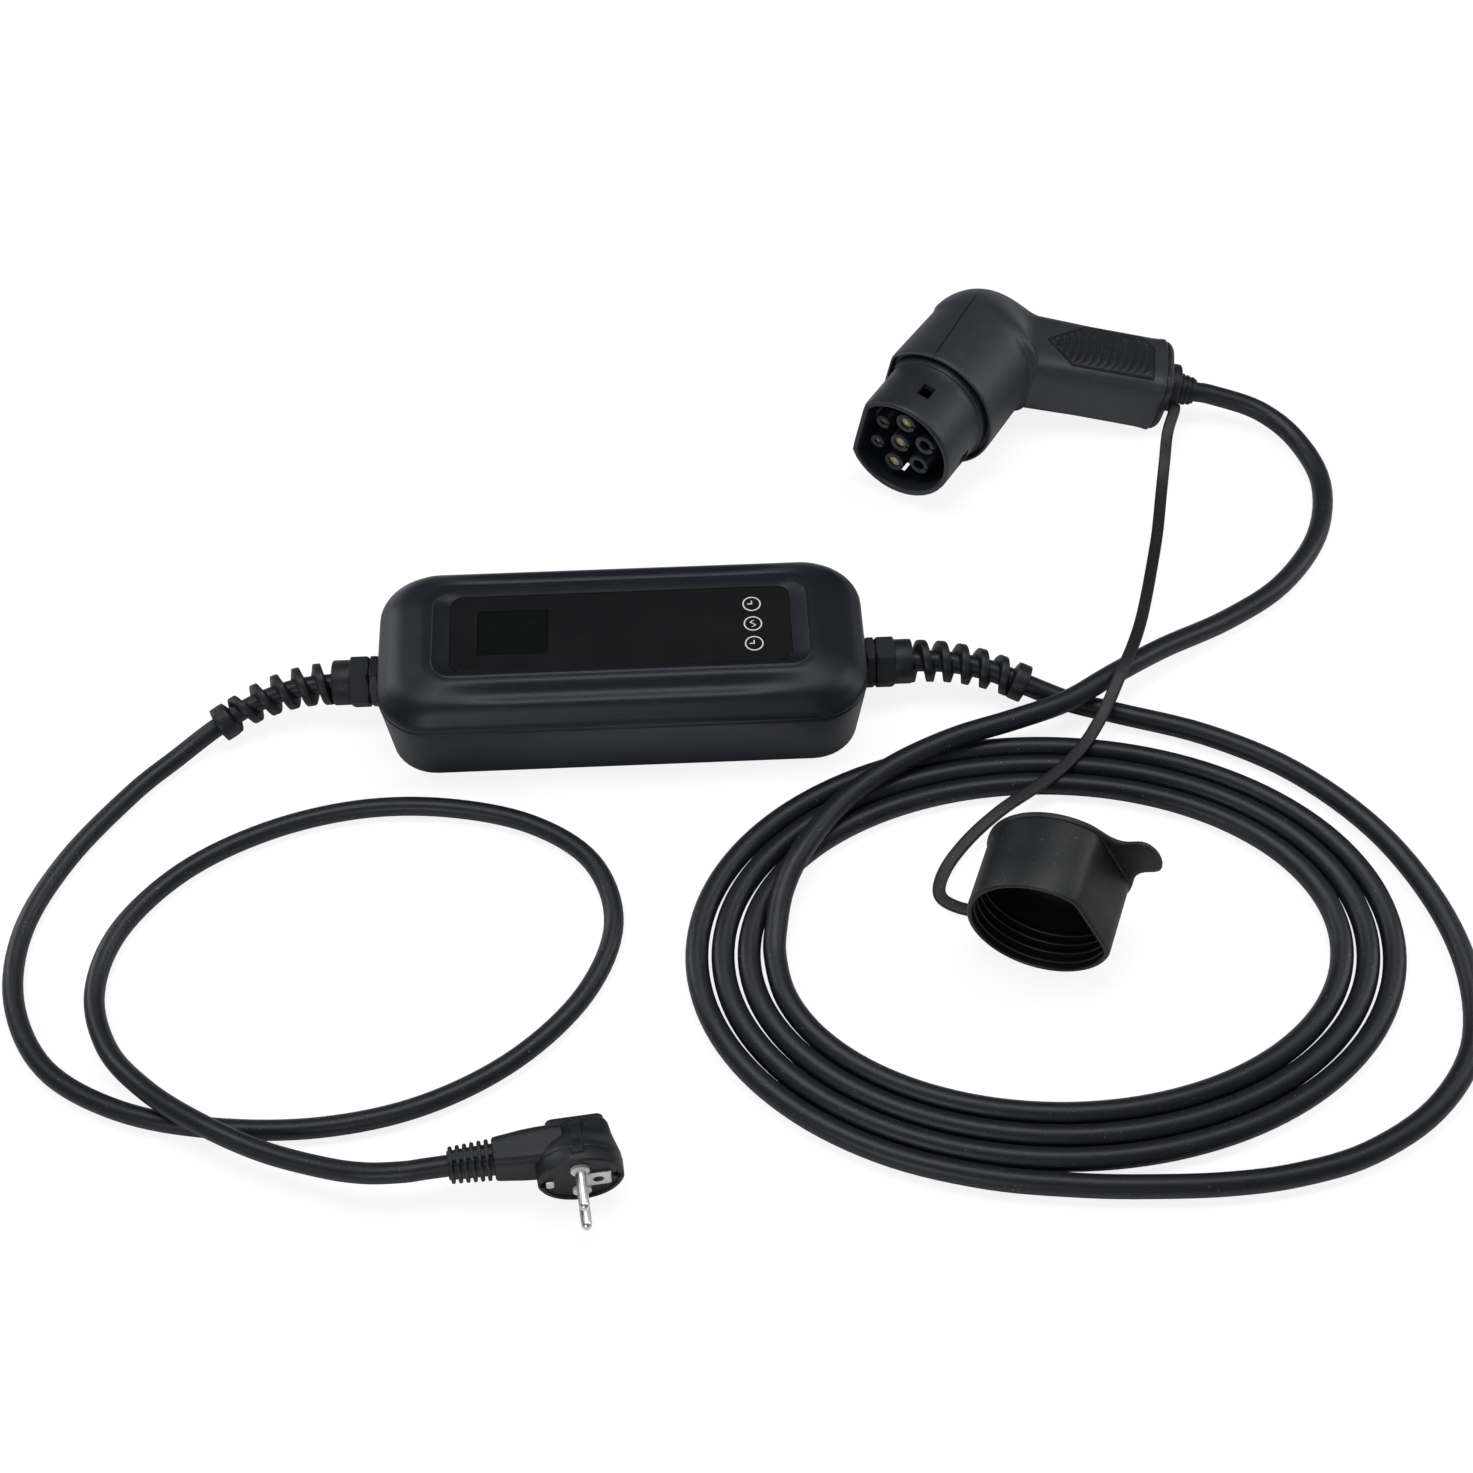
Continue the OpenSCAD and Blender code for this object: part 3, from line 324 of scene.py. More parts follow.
def moulded_plastic(name, dark, light, rough, grain, depth, seam=None, shine=0.5):
    """Moulded plastic: spark-eroded grain in the normal, slow patches in gloss, faint pale rubs in colour.

    A seam, if given as a point and a normal, is a near-black line of painted shade for its groove where the
    distance from that plane is small, with a dip in the bump."""
    f = Finish(name)
    rub = f.noise(9.0, 4.0, 0.6)
    fine = f.noise(grain, 2.0, 0.6)
    colour = f.blend((rub > 0.62) * 0.25 + rub * 0.5, dark, light)
    height = fine
    if seam:
        point, normal = (np.asarray(v, float) for v in seam)
        off = f.node("ShaderNodeVectorMath", {"operation": "DOT_PRODUCT"}, {0: f.place(), 1: normal}, "Value")
        # Painted shade of the seam's groove: near-black colour close to the seam's plane, and a dip in the
        # bump
        line = abs(off - float(point @ normal)) < 0.45
        colour = f.blend(line * 0.95, colour, (0.001, 0.001, 0.001))
        height = fine - line * 6.0
    return f.set(Base_Color=colour, Roughness=rub * 0.14 + (rough - 0.07), Normal=f.bump(height, depth),
                 Specular_IOR_Level=shine)


def rubber(name, dark, light, rough, grain, depth):
    """Soft rubber: fine pits, dusty bloom in patches, and single pale specks."""
    f = Finish(name)
    bloom = f.noise(14.0, 5.0, 0.65)
    pits = f.noise(grain, 3.0, 0.6)
    speck = f.noise(1.1, 1.0, 0.4) > 0.755
    tone = f.blend(speck * 0.6, f.blend(bloom * 0.7, dark, light), (0.2, 0.2, 0.2))
    return f.set(Base_Color=tone, Roughness=bloom * 0.16 + (rough - 0.08), Normal=f.bump(pits, depth),
                 Specular_IOR_Level=0.4)


def plated_metal(name, tone, rough, scratch, metal=1.0):
    """Plated metal: lengthwise draw marks in gloss and normal, and a slow change of tone."""
    f = Finish(name)
    marks = f.noise(0.25, 3.0, 0.6, f.place(scratch))
    tone_b = tuple(c * 0.82 for c in tone)
    return f.set(Base_Color=f.blend(f.noise(4.0), tone, tone_b), Metallic=metal,
                 Roughness=marks * 0.16 + rough, Normal=f.bump(marks, 0.02))


def key_marks(name, dark, light):
    """Gloss panel with three printed rings, each where the distance from a key's middle is near its radius.

    The outer two hold clock hands, two bars that meet; the middle one holds a wave, sin of the place."""
    f = Finish(name)
    x, y = (f.node("ShaderNodeSeparateXYZ", {}, {0: f.place()}, axis) for axis in (0, 1))
    up = KEY_X - x
    marks = 0.0
    for k in (-1, 0, 1):
        side = y - k * KEY_PITCH
        away = (up * up + side * side) ** 0.5
        marks = (abs(away - KEY_RING_R) < KEY_LINE) + marks
        if k:
            hands = (abs(side) < 0.3) * (abs(up - 1.0) < 1.3) + (abs(up) < 0.3) * (abs(side - 0.9) < 1.2)
            marks = hands + marks
        else:
            wave = f.node("ShaderNodeMath", {"operation": "SINE"}, {0: side * 1.75}) * 1.1
            marks = (abs(up - wave) < 0.42) * (abs(side) < 2.1) + marks
    ink = f.node("ShaderNodeMath", {"operation": "MINIMUM"}, {0: marks, 1: 1.0})
    ink = ink * (f.noise(0.5, 2.0) * 0.2 + 0.85)
    haze = f.noise(20.0, 4.0, 0.6)
    smooth = f.noise(0.7, 2.0)
    tone = f.blend(ink, f.blend(haze, dark, light), (0.88, 0.89, 0.91))
    return f.set(Base_Color=tone, Specular_IOR_Level=0.4, Roughness=haze * 0.1 + ink * 0.2 + 0.2,
                 Normal=f.bump(smooth, 0.006))


SHELL = moulded_plastic("shell_satin", (0.007, 0.009, 0.015), (0.013, 0.016, 0.026), 0.38, 0.28, 0.05,
                        shine=0.32)
HOOD = moulded_plastic("hood_satin", (0.012, 0.014, 0.020), (0.021, 0.024, 0.033), 0.44, 0.3, 0.06)
# Plane of the hood's seam, along which a near-black line paints the shade of its groove
SEAM = (on_connector((5.0, 0.0, 6.0)), CONNECTOR_M @ unit(np.array([10.0, 0.0, 115.0])))
JOINED = moulded_plastic("hood_with_seam_shade", (0.022, 0.024, 0.032), (0.036, 0.040, 0.050), 0.44, 0.3, 0.06,
                         SEAM)
NYLON = moulded_plastic("gland_nylon", (0.010, 0.010, 0.012), (0.022, 0.023, 0.026), 0.34, 0.4, 0.04)
PANEL = key_marks("panel_gloss", (0.005, 0.005, 0.006), (0.009, 0.009, 0.010))
LCD = moulded_plastic("display_dark", (0.0015, 0.003, 0.002), (0.003, 0.006, 0.004), 0.12, 0.6, 0.005)
CABLE = rubber("cable_rubber", (0.008, 0.009, 0.013), (0.016, 0.018, 0.025), 0.42, 0.5, 0.05)
SOFT = rubber("soft_rubber", (0.007, 0.008, 0.010), (0.014, 0.015, 0.019), 0.48, 0.4, 0.05)
# Near-black finish of the strips that paint the shade in the gaps round the grip pads
GAP_SHADE = rubber("gap_shadow", (0.001, 0.001, 0.001), (0.002, 0.002, 0.002), 0.8, 0.5, 0.02)
CAP = rubber("cap_rubber", (0.007, 0.008, 0.009), (0.015, 0.016, 0.018), 0.46, 0.5, 0.06)
NICKEL = plated_metal("nickel_plate", (0.95, 0.94, 0.91), 0.24, (1.0, 0.08, 1.0))
BRASS = plated_metal("contact_brass", (0.96, 0.86, 0.68), 0.28, (1.0, 1.0, 1.0), 0.75)
WHITE = moulded_plastic("collar_white", (0.86, 0.86, 0.85), (0.92, 0.92, 0.91), 0.45, 0.5, 0.03)
BOARD = moulded_plastic("board_green", (0.03, 0.12, 0.06), (0.05, 0.16, 0.08), 0.5, 0.5, 0.02)
BLOCK = moulded_plastic("block_dark", (0.05, 0.055, 0.065), (0.08, 0.085, 0.095), 0.5, 0.5, 0.03)

SLOTS = {"shell_black": SHELL, "gloss_black": PANEL, "display_dark": LCD, "cable_rubber": CABLE,
         "soft_black": SOFT, "nickel": NICKEL, "brass": BRASS, "collar_white": WHITE,
         "board_green": BOARD, "module_dark": BLOCK}
for part in frame["record"]["subparts"]:
    mesh = frame["nodes"][part["node"]].data
    mesh.materials.clear()
    mesh.materials.append(SLOTS[part["material_slot"]])


def exit_route(side, steps):
    """A cable's first points: straight out of its gland, at that end of the box, then down to the table."""
    return [(side * (PAD_X + s[0]), s[1], GLAND_Z + s[2]) for s in steps]


def tube(path, d, sides=24):
    """A round tube along a path."""
    return skin(carried(path, circle(sides) * d / 2))


def coil_points():
    """Points of the loose coil: an ellipse whose half axes shrink by a pitch each turn, run clockwise."""
    angle = np.arange(COIL_FROM, COIL_TO, COIL_STEP)
    k = (COIL_OUTER - angle) / 360.0
    a = np.radians(angle)
    x = COIL_CENTRE[0] + (COIL_A - COIL_PITCH_X * k) * np.cos(a)
    y = COIL_CENTRE[1] + (COIL_B - COIL_PITCH_Y * k) * np.sin(a)
    return xyz(x, y, VZ).tolist()


plug_end = on_plug([(-PLUG_NECK_X, -BOOT_END - 0.05 - s, 0) for s in (20, 10, 0)]).tolist()
inside_handle = on_connector(on_handle(HANDLE_L + np.array([32.0, 21.0, 10.0, 0.0, -20.0, -45.0]))).tolist()
mains_path = spline(exit_route(-1, MAINS_EXIT) + MAINS_TABLE + plug_end, 8)
vehicle_path = spline(
    exit_route(1, VEHICLE_EXIT) + LEAD_TABLE + [(228, -291.6, VZ), (196, -289.4, VZ)] + coil_points()
    + [(69.5, -149, 8), (74, -131, 12.6)] + TAIL_TABLE + inside_handle, 6)
mains_cable = build("mains_cable_strand", [tube(mains_path, MAINS_D)], CABLE, ["mains_cable"])
vehicle_cable = build("vehicle_cable_strand", [tube(vehicle_path, VEHICLE_D)], CABLE,
                      ["vehicle_cable_lead", "vehicle_cable_coil", "vehicle_cable_tail"])


def beside_cap(r):
    """A point beside the lower left of the cap, r from its axis, 51 degrees below level."""
    a = np.radians(51.0)
    p = np.array([CAP_DEPTH / 2, -r * np.cos(a), -r * np.sin(a)])
    return moved(p, (*CAP_AT, CAP_Z), turn("z", CAP_TURN) @ turn("y", CAP_TILT))


def beside_ring(r):
    """A point in front of the strap's ring, r from the handle's axis."""
    return on_connector(on_handle(HANDLE_L + END_CAP_T + LOOP_W / 2 + 0.3) + r * HANDLE_FORE)[0]


ring_r = BOOT_D / 2 + 3.5
strap_path = spline([beside_ring(ring_r + 0.1), beside_ring(ring_r + 4)] + STRAP_TABLE
                    + [beside_cap(CAP_R + 7), beside_cap(CAP_R + 0.2)], 8)
corner = circle(32)
strap_section = np.sign(corner) * np.abs(corner) ** 0.5 * (STRAP_W / 2, STRAP_T / 2)
strap = build("strap_band", [skin(carried(strap_path, strap_section))], SOFT, ["cap_strap"])


def rounded_rings(hx, hy, r, z, per_corner=12, per_side=6):
    """Rings of a rectangle with round corners: quarter circles of radius r, joined by straight sides.

    hx and hy are half sizes; each row of the arrays gives one ring at height z."""
    hx, hy, r, z = (np.atleast_1d(v).astype(float)[:, None] for v in np.broadcast_arrays(hx, hy, r, z))
    arcs = []
    for quarter, (sx, sy) in enumerate(((1, 1), (-1, 1), (-1, -1), (1, -1))):
        a = np.radians(90.0 * quarter + np.linspace(0, 90, per_corner))
        arcs.append(np.stack([sx * (hx - r) + r * np.cos(a), sy * (hy - r) + r * np.sin(a)], -1))
    t = (np.arange(1, per_side + 1) / (per_side + 1))[:, None]
    sides = [arcs[q][:, -1:] * (1 - t) + arcs[(q + 1) % 4][:, :1] * t for q in range(4)]
    flat = np.concatenate([p for pair in zip(arcs, sides) for p in pair], 1)
    return xyz(flat[..., 0], flat[..., 1], z)


def lathe(profile, sides=48):
    """Rings about the X axis: each (x, r) of the profile is one circle."""
    p = np.asarray(profile, float)
    c = circle(sides)
    return xyz(p[:, :1], p[:, 1:] * c[:, 0], p[:, 1:] * c[:, 1])


def ease(t):
    """A soft step from 0 to 1: 3t^2 - 2t^3."""
    return t * t * (3 - 2 * t)


def ring_round(rings):
    """Rings joined into a closed hoop: the last one meets the first."""
    return np.concatenate([rings, rings[:1]])


def box_base():
    """Base tray: a drafted wall over a rounded foot, with a round pad for the gland on each end."""
    foot = np.radians(np.linspace(0, 90, 7))
    inset = np.concatenate([DRAFT + FOOT_R * (1 - np.sin(foot)), [0.4, 0.0, 0.0, 0.5]])
    z = np.concatenate([FOOT_R * (1 - np.cos(foot)), [BASE_H - 3.4, BASE_H - 0.9, BASE_H - 0.5, BASE_H]])
    rows = rounded_rings(BOX_L / 2 - inset, BOX_W / 2 - inset, CORNER_R - inset, z)
    pad = lathe([(108, 15), (PAD_X - 0.8, 15), (PAD_X - 0.3, 14.8), (PAD_X, 14.2)], 64) + (0, 0, GLAND_Z)
    return [skin(rows), skin(pad), skin(pad * (-1, 1, 1))]


def eased(points, cuts, count):
    """A broken line with rounded corners: each corner is cut back and bridged by a quadratic curve.

    The result is count points, evenly spaced along it."""
    p = np.asarray(points, float)
    t = np.linspace(0, 1, 9)[:, None]
    parts = [p[:1]]
    for a, b, c, cut in zip(p[:-2], p[1:-1], p[2:], cuts):
        start, end = b + unit(a - b) * cut, b + unit(c - b) * cut
        parts.append((1 - t) ** 2 * start + 2 * t * (1 - t) * b + t ** 2 * end)
    line = np.concatenate(parts + [p[-1:]])
    run = np.concatenate([[0], np.cumsum(np.linalg.norm(np.diff(line, axis=0), axis=1))])
    even = np.linspace(0, run[-1], count)
    return np.stack([np.interp(even, run, line[:, k]) for k in (0, 1)], -1)


def box_cover():
    """Cover: a short upright edge, a crown of two slopes with rounded creases, a flat rim, a ramped pocket.

    The upper slope is scooped along the middle of each long side: it sinks as sin^2 across the slope, times
    a soft step that fades towards the ends."""
    low, mean = BASE_H + SEAL_T, (SLOPE_L + SLOPE_W) / 2
    bend, many = 0.35, 30
    line = [(0, low + 0.6), (0, low + 3), (bend * mean, BOX_H - 5), (mean, BOX_H), (1.11 * mean, BOX_H)]
    inset, z = eased(line, (2.2, 5.0, 2.0), 32).T
    f = inset / mean
    crown = rounded_rings(BOX_L / 2 - SLOPE_L * f, BOX_W / 2 - SLOPE_W * f, CORNER_R - 14 * f, z,
                          per_side=many)
    across = np.clip((f - bend) / (1 - bend), 0, 1)[:, None]
    middle = 1 - ease(np.clip((np.abs(crown[..., 0]) - SCOOP_FROM) / SCOOP_FADE, 0, 1))
    crown[..., 2] -= SCOOP * np.sin(np.pi * across) ** 2 * middle
    hx, hy, r = PANEL_L / 2, PANEL_W / 2, PANEL_CORNER
    foot = rounded_rings(BOX_L / 2 - 0.5, BOX_W / 2 - 0.5, CORNER_R - 0.5, low, per_side=many)
    edge, ramp = np.array([1.2, 0.9, 0.4, 0, 0.4, 0.15, 0.15]), np.array([1, 1, 1, 1, 0, 0, 0])
    wide, deep = edge + RAMP_L * ramp, edge + RAMP_W * ramp
    level = np.array([0, 0.3, 0.3, -0.2, 0.1 - PANEL_SINK, -0.1 - PANEL_SINK, -PANEL_SINK - PANEL_T])
    pocket = rounded_rings(hx + wide, hy + deep, r + deep, BOX_H + level, per_side=many)
    return [skin(np.concatenate([foot, crown, pocket]))]


def panel_sheet():
    """Front panel: a thin rounded sheet with a square opening for the display."""
    top = BOX_H - PANEL_SINK
    hx, hy, r = PANEL_L / 2, PANEL_W / 2, PANEL_CORNER
    e = np.array([0.0, 0.0, 0.3])
    outer = rounded_rings(hx - e, hy - e, r - e, [top - PANEL_T, top - 0.3, top])
    inner = rounded_rings(LCD_L / 2 + 0.1, LCD_W / 2 + 0.1, 0.5, [top, top - PANEL_T]) + (LCD_X, 0, 0)
    return [skin(ring_round(np.concatenate([outer, inner])), caps=False)]


def display_glass():
    """Display window: a flat pane with eased edges, level with the panel."""
    top = BOX_H - PANEL_SINK
    hx, hy = LCD_L / 2, LCD_W / 2
    e = np.array([0.0, 0.0, 0.25])
    rows = rounded_rings(hx - e, hy - e, 0.4, [top - PANEL_T, top - 0.25, top])
    return [skin(rows + (LCD_X, 0, 0))]


def hexagon(x0, x1, af, bevel):
    """Six-sided bar along X: the radius follows the flats, and near each end a cone takes off the corners."""
    count = 96
    a = np.arange(count) * 2 * np.pi / count
    flat = af / 2 / np.cos(np.mod(a, np.pi / 3) - np.pi / 6)
    step = bevel * np.linspace(0, 1, 5)
    x = np.concatenate([x0 + step, x1 - step[::-1]])
    room = np.minimum(x - x0, x1 - x)[:, None]
    r = np.minimum(flat, af / 2 - 0.25 + 2.3 * room)
    return xyz(x[:, None], r * np.cos(a), r * np.sin(a))


def at_gland(rings, side):
    """Gland pieces, measured outwards from the pad, carried to their end of the box."""
    return (rings + (PAD_X, 0, GLAND_Z)) * (side, 1, 1)


def gland_body(side):
    """Gland body: a hexagon against the pad, on a plain round stub."""
    stub = lathe([(-14, 6), (-14, 9.6), (-13.4, 10), (0.2, 10)])
    return [skin(at_gland(hexagon(0.05, BODY_HEX - 0.15, HEX_AF, 0.9), side)), skin(at_gland(stub, side))]


def gland_nut(side, steps, cable_d):
    """Clamping nut: hexagon, plain sleeve, spiral guard and collar.

    The guard is a flat-topped band wound round the bending cable: its crest falls from the sleeve to the
    collar."""
    inner = cable_d / 2 + 0.3
    r = SLEEVE_D / 2
    sleeve = lathe([(NUT_END - 0.5, r - 0.2), (NUT_END + 0.3, r), (SLEEVE_END - 1, r),
                    (SLEEVE_END - 0.3, r - 0.3), (SLEEVE_END, r - 1), (SLEEVE_END, inner)])
    fine = spline(exit_route(side, steps), SPAN_STEPS)
    count = int(SPIRAL_TURNS * TURN_STEPS) + 1
    f = np.linspace(0, 1, count)
    u = ((GUARD_FROM + (GUARD_TO - GUARD_FROM) * f) * SPAN_STEPS).astype(int)
    along, aside, up = (v[u] for v in frames(fine))
    a = f * SPIRAL_TURNS * 2 * np.pi
    out = np.cos(a)[:, None] * aside - np.sin(a)[:, None] * up
    crest = (r - 0.4) * (1 - f) + (inner + 3.6) * f
    shift = np.array([-2.9, -2.5, -2.1, -1.85, -1.5, 1.5, 1.85, 2.1, 2.5, 2.9])
    rise = np.array([0, 0.45, 0.86, 0.97, 1, 1, 0.97, 0.86, 0.45, 0])
    lift = inner + (crest - inner)[:, None] * rise
    band = fine[u][:, None] + shift[None, :, None] * along[:, None] + lift[..., None] * out[:, None]
    end = fine[int(COLLAR_FROM * SPAN_STEPS):]
    pick = np.linspace(0, len(end) - 1, 9).astype(int)
    swell = np.array([0, 0.93, 1, 1, 1, 1, 1, 0.93, 0])
    hoop = circle(40)[None] * (inner + 4.0 * swell)[:, None, None]
    collar = carried(end[pick], hoop)
    return [skin(at_gland(hexagon(BODY_HEX + 0.1, NUT_END, HEX_AF, 1.4), side)), skin(at_gland(sleeve, side)),
            skin(band), skin(collar)]


build("base_tray", box_base(), SHELL, ["box_base"])
build("cover_dome", box_cover(), SHELL, ["box_cover"], crease=50)
build("panel_sheet", panel_sheet(), PANEL, ["front_panel"])
build("display_pane", display_glass(), LCD, ["display_window"])
build("mains_gland_hex", gland_body(-1), NYLON, ["mains_gland_body"])
build("vehicle_gland_hex", gland_body(1), NYLON, ["vehicle_gland_body"])
build("mains_gland_guard", gland_nut(-1, MAINS_EXIT, MAINS_D), SOFT, ["mains_gland_nut"])
build("vehicle_gland_guard", gland_nut(1, VEHICLE_EXIT, VEHICLE_D), SOFT, ["vehicle_gland_nut"])


def d_radius(angle, grow, sharp=60.0):
    """Radius of the connector's D outline about the circle's centre: the lesser of the circle and the flat
    on top, blended as (a^-p + b^-p)^(-1/p) so that the two corners are round; p is how sharp they are."""
    flat = (NOSE_FLAT + NOSE_DROP + grow) / np.maximum(np.sin(angle), 1e-3)
    return ((NOSE_R + grow) ** -sharp + flat ** -sharp) ** (-1 / sharp)


def d_rings(x, grow, angle, sharp=60.0):
    """Rings of the D outline across X: one for each x, grown outwards by grow."""
    x, grow = (np.atleast_1d(v).astype(float)[:, None] for v in np.broadcast_arrays(x, grow))
    r = d_radius(angle[None], grow, sharp)
    return xyz(x, r * np.cos(angle), r * np.sin(angle) - NOSE_DROP)


def pierced(outer, inner, holes):
    """A wall between two grids of rings: no cells where holes is true, and walls round each opening."""
    rows, cols = outer.shape[:2]
    lift = rows * cols
    r, c = np.nonzero(~holes)
    a, b = r * cols + c, r * cols + (c + 1) % cols
    faces = [np.stack([a, b, b + cols, a + cols], -1), np.stack([a, a + cols, b + cols, b], -1) + lift]
    edge = np.pad(holes, ((1, 1), (0, 0)), constant_values=True)
    r, c = np.nonzero(edge[1:] != edge[:-1])
    a, b = r * cols + c, r * cols + (c + 1) % cols
    faces.append(np.stack([a, b, b + lift, a + lift], -1))
    r, c = np.nonzero(holes != np.roll(holes, 1, 1))
    a = r * cols + c
    faces.append(np.stack([a, a + cols, a + cols + lift, a + lift], -1))
    return np.concatenate([outer.reshape(-1, 3), inner.reshape(-1, 3)]), np.concatenate(faces).tolist()


def spread(stops, steps):
    """Values that pass through every stop, with so many even steps between one stop and the next."""
    parts = [np.linspace(a, b, steps, endpoint=False) for a, b in zip(stops[:-1], stops[1:])]
    return np.concatenate(parts)


def nose_shell():
    """Nose: a D-shaped wall with a rounded rim and a square window in the middle of each side."""
    half = (6.4, 7.8, 6.4, 6.4)
    stops = [v for k, h in enumerate(half) for v in (90 * k - h, 90 * k + h)] + [360 - half[0]]
    angle = np.radians(spread(stops, 8))
    x = np.array([-8, 1.6, 2.4, 2.7, 3.3, 8, 15, 24, 30, NOSE_L - 1.8, NOSE_L - 0.8, NOSE_L - 0.2, NOSE_L])
    out = np.array([1.3, 1.3, 1.0, 0.2, 0, 0, 0, 0, 0, 0, -0.15, -0.5, -1.1])
    into = -NOSE_WALL - np.minimum(out, 0)
    column = np.arange(len(angle)) // 8
    holes = np.zeros((len(x) - 1, len(angle)), bool)
    holes[6] = column % 2 == 0
    verts, faces = pierced(d_rings(x, out, angle), d_rings(x, into, angle), holes)
    return [(on_connector(verts), faces)]


def contact_sleeves():
    """Seven contact sleeves on a D-shaped plate: each is a tube with a lip at its mouth and a slot below."""
    whole = np.radians(np.arange(0, 360, 5.0))
    patches = [skin(on_connector(d_rings([0.2, 3.6, 4.0], [-3.3, -3.3, -3.7], whole)))]
    x = np.array([3.5, 24, 30.6, 31.2, 31.4, 32.4, 32.8, 33])
    shade = np.array([0, 0, 0, 0, 0, 0, -0.12, -0.45])
    for y, z, r, bore, mouth in (
            (POWER_Y, 0, 5.8, 3.8, 3.2), (0, 0, 5.8, 3.8, 3.2), (-POWER_Y, 0, 5.8, 3.8, 3.2),
            (SPARE_Y, SPARE_Z, 5.8, 3.4, 3.1), (-SPARE_Y, SPARE_Z, 5.8, 3.4, 3.1),
            (SIGNAL_Y, SIGNAL_Z, 4.2, 2.3, 1.7), (-SIGNAL_Y, SIGNAL_Z, 4.2, 2.3, 1.7)):
        gap = np.degrees(np.arcsin(0.75 / r))
        around = np.linspace(-90 + gap, 270 - gap, 42)[1:-1]
        angle = np.radians(np.concatenate([[-90 - gap, -90 + gap], around]))
        inner = np.array([bore, bore, bore, bore, mouth, mouth, mouth + 0.1, mouth + 0.35])
        walls = [xyz(x[:, None], k[:, None] * np.cos(angle) + y, k[:, None] * np.sin(angle) + z)
                 for k in (r + shade, inner)]
        holes = np.zeros((len(x) - 1, len(angle)), bool)
        holes[1:, 0] = True
        verts, faces = pierced(*walls, holes)
        patches.append((on_connector(verts), faces))
    return patches


def socket_contact(y, z, r, bore):
    """Socket contact: a turned rod with a countersunk mouth and a shallow floor."""
    rows = lathe([(4.1, r), (30.6, r), (31.0, r - 0.3), (31.0, bore + 0.25), (30.5, bore), (29.8, bore),
                  (29.4, bore - 0.6)], 32)
    return [skin(on_connector(rows + (0, y, z)))]


def connector_shell():
    """Hood and handle in one skin.

    Rows along the hood carry the D outline, from a grooved rim. At the inner corner the planes of the rows
    turn about it, like the leaves of a book, and each blends from the D to a rounded square, as 3t^2 - 2t^3
    of the turn. From there the square runs down the handle, a little wider and shallower towards its end."""
    angle = np.radians(np.arange(0, 360, 2.5))
    cosine, sine = np.cos(angle), np.sin(angle)
    front = np.array([4, 4, 0.5, 0.1, 0, 0, 0.15, 0.6, 1.6, 4, 10, 18, 26, 34, 41, 46.5])
    grow = np.array([0.2, 3.4, 3.7, 4.0, 4.3, 4.6, 5.0, 5.35, 5.5, 5.5, 5.4, 5.2, 5.0, 4.8, 4.6, 4.5])
    rows = [d_rings(-front, grow, angle)]
    turned = np.radians(np.linspace(0, 64, 33))[1:]
    share = (turned / turned[-1])[:, None]
    blend = ease(share)
    far = HOOD_DEEP - (HOOD_DEEP - HANDLE_DEEP) * ease(share ** 1.5)
    wide = HOOD_HALF - (HOOD_HALF - HANDLE_HALF) * ease(share ** 1.3)
    radius = d_radius(angle, 4.5)
    square = (np.abs(cosine) ** HANDLE_POWER + np.abs(sine) ** HANDLE_POWER) ** (-1 / HANDLE_POWER)
    y = (1 - blend) * radius * cosine / HOOD_HALF + blend * square * cosine
    z = (1 - blend) * radius * sine / HOOD_HALF + blend * square * sine
    low, high = z.min(1, keepdims=True), z.max(1, keepdims=True)
    reach = 0.4 * share + (far - 0.4 * share) * (z - low) / (high - low)
    across = wide * y / np.abs(y).max(1, keepdims=True)
    outwards = xyz(-np.sin(turned), 0.0, np.cos(turned))
    fan = ELBOW + reach[..., None] * outwards[:, None] + across[..., None] * ACROSS
    rows.append(fan)
    top = fan[-1]
    middle = top.mean(0)
    t = np.array([0.1, 0.2, 0.3, 0.4, 0.5, 0.6, 0.7, 0.8, 0.88, 0.94, 0.965, 0.985, 0.995, 1.0])[:, None]
    swell = np.interp(t, [0, 0.93, 0.955, 0.985, 1], [1, 1, 1.025, 1.025, 0.985])
    depth = ((top - middle) @ HANDLE_FORE) * np.interp(t, TAPER_AT, [1, 0.95, 0.925]) * swell
    width = (top - middle)[:, 1] * np.interp(t, TAPER_AT, WIDER) * swell
    centre = middle * (1 - t) + on_handle(HANDLE_L) * t
    rows.append(centre[:, None] + depth[..., None] * HANDLE_FORE + width[..., None] * ACROSS)
    return [skin(on_connector(np.concatenate(rows)))]


def handle_side(g, t):
    """Half width of the handle where its rounded square stands g in front of the axis, t along it."""
    place = (t - TAPER_FROM) / (HANDLE_L - TAPER_FROM)
    half = np.interp(place, TAPER_AT, [23, 21.85, 21.3])
    wide = HANDLE_HALF * np.interp(place, TAPER_AT, WIDER)
    return wide * (1 - np.abs(g / half) ** HANDLE_POWER) ** (1 / HANDLE_POWER)


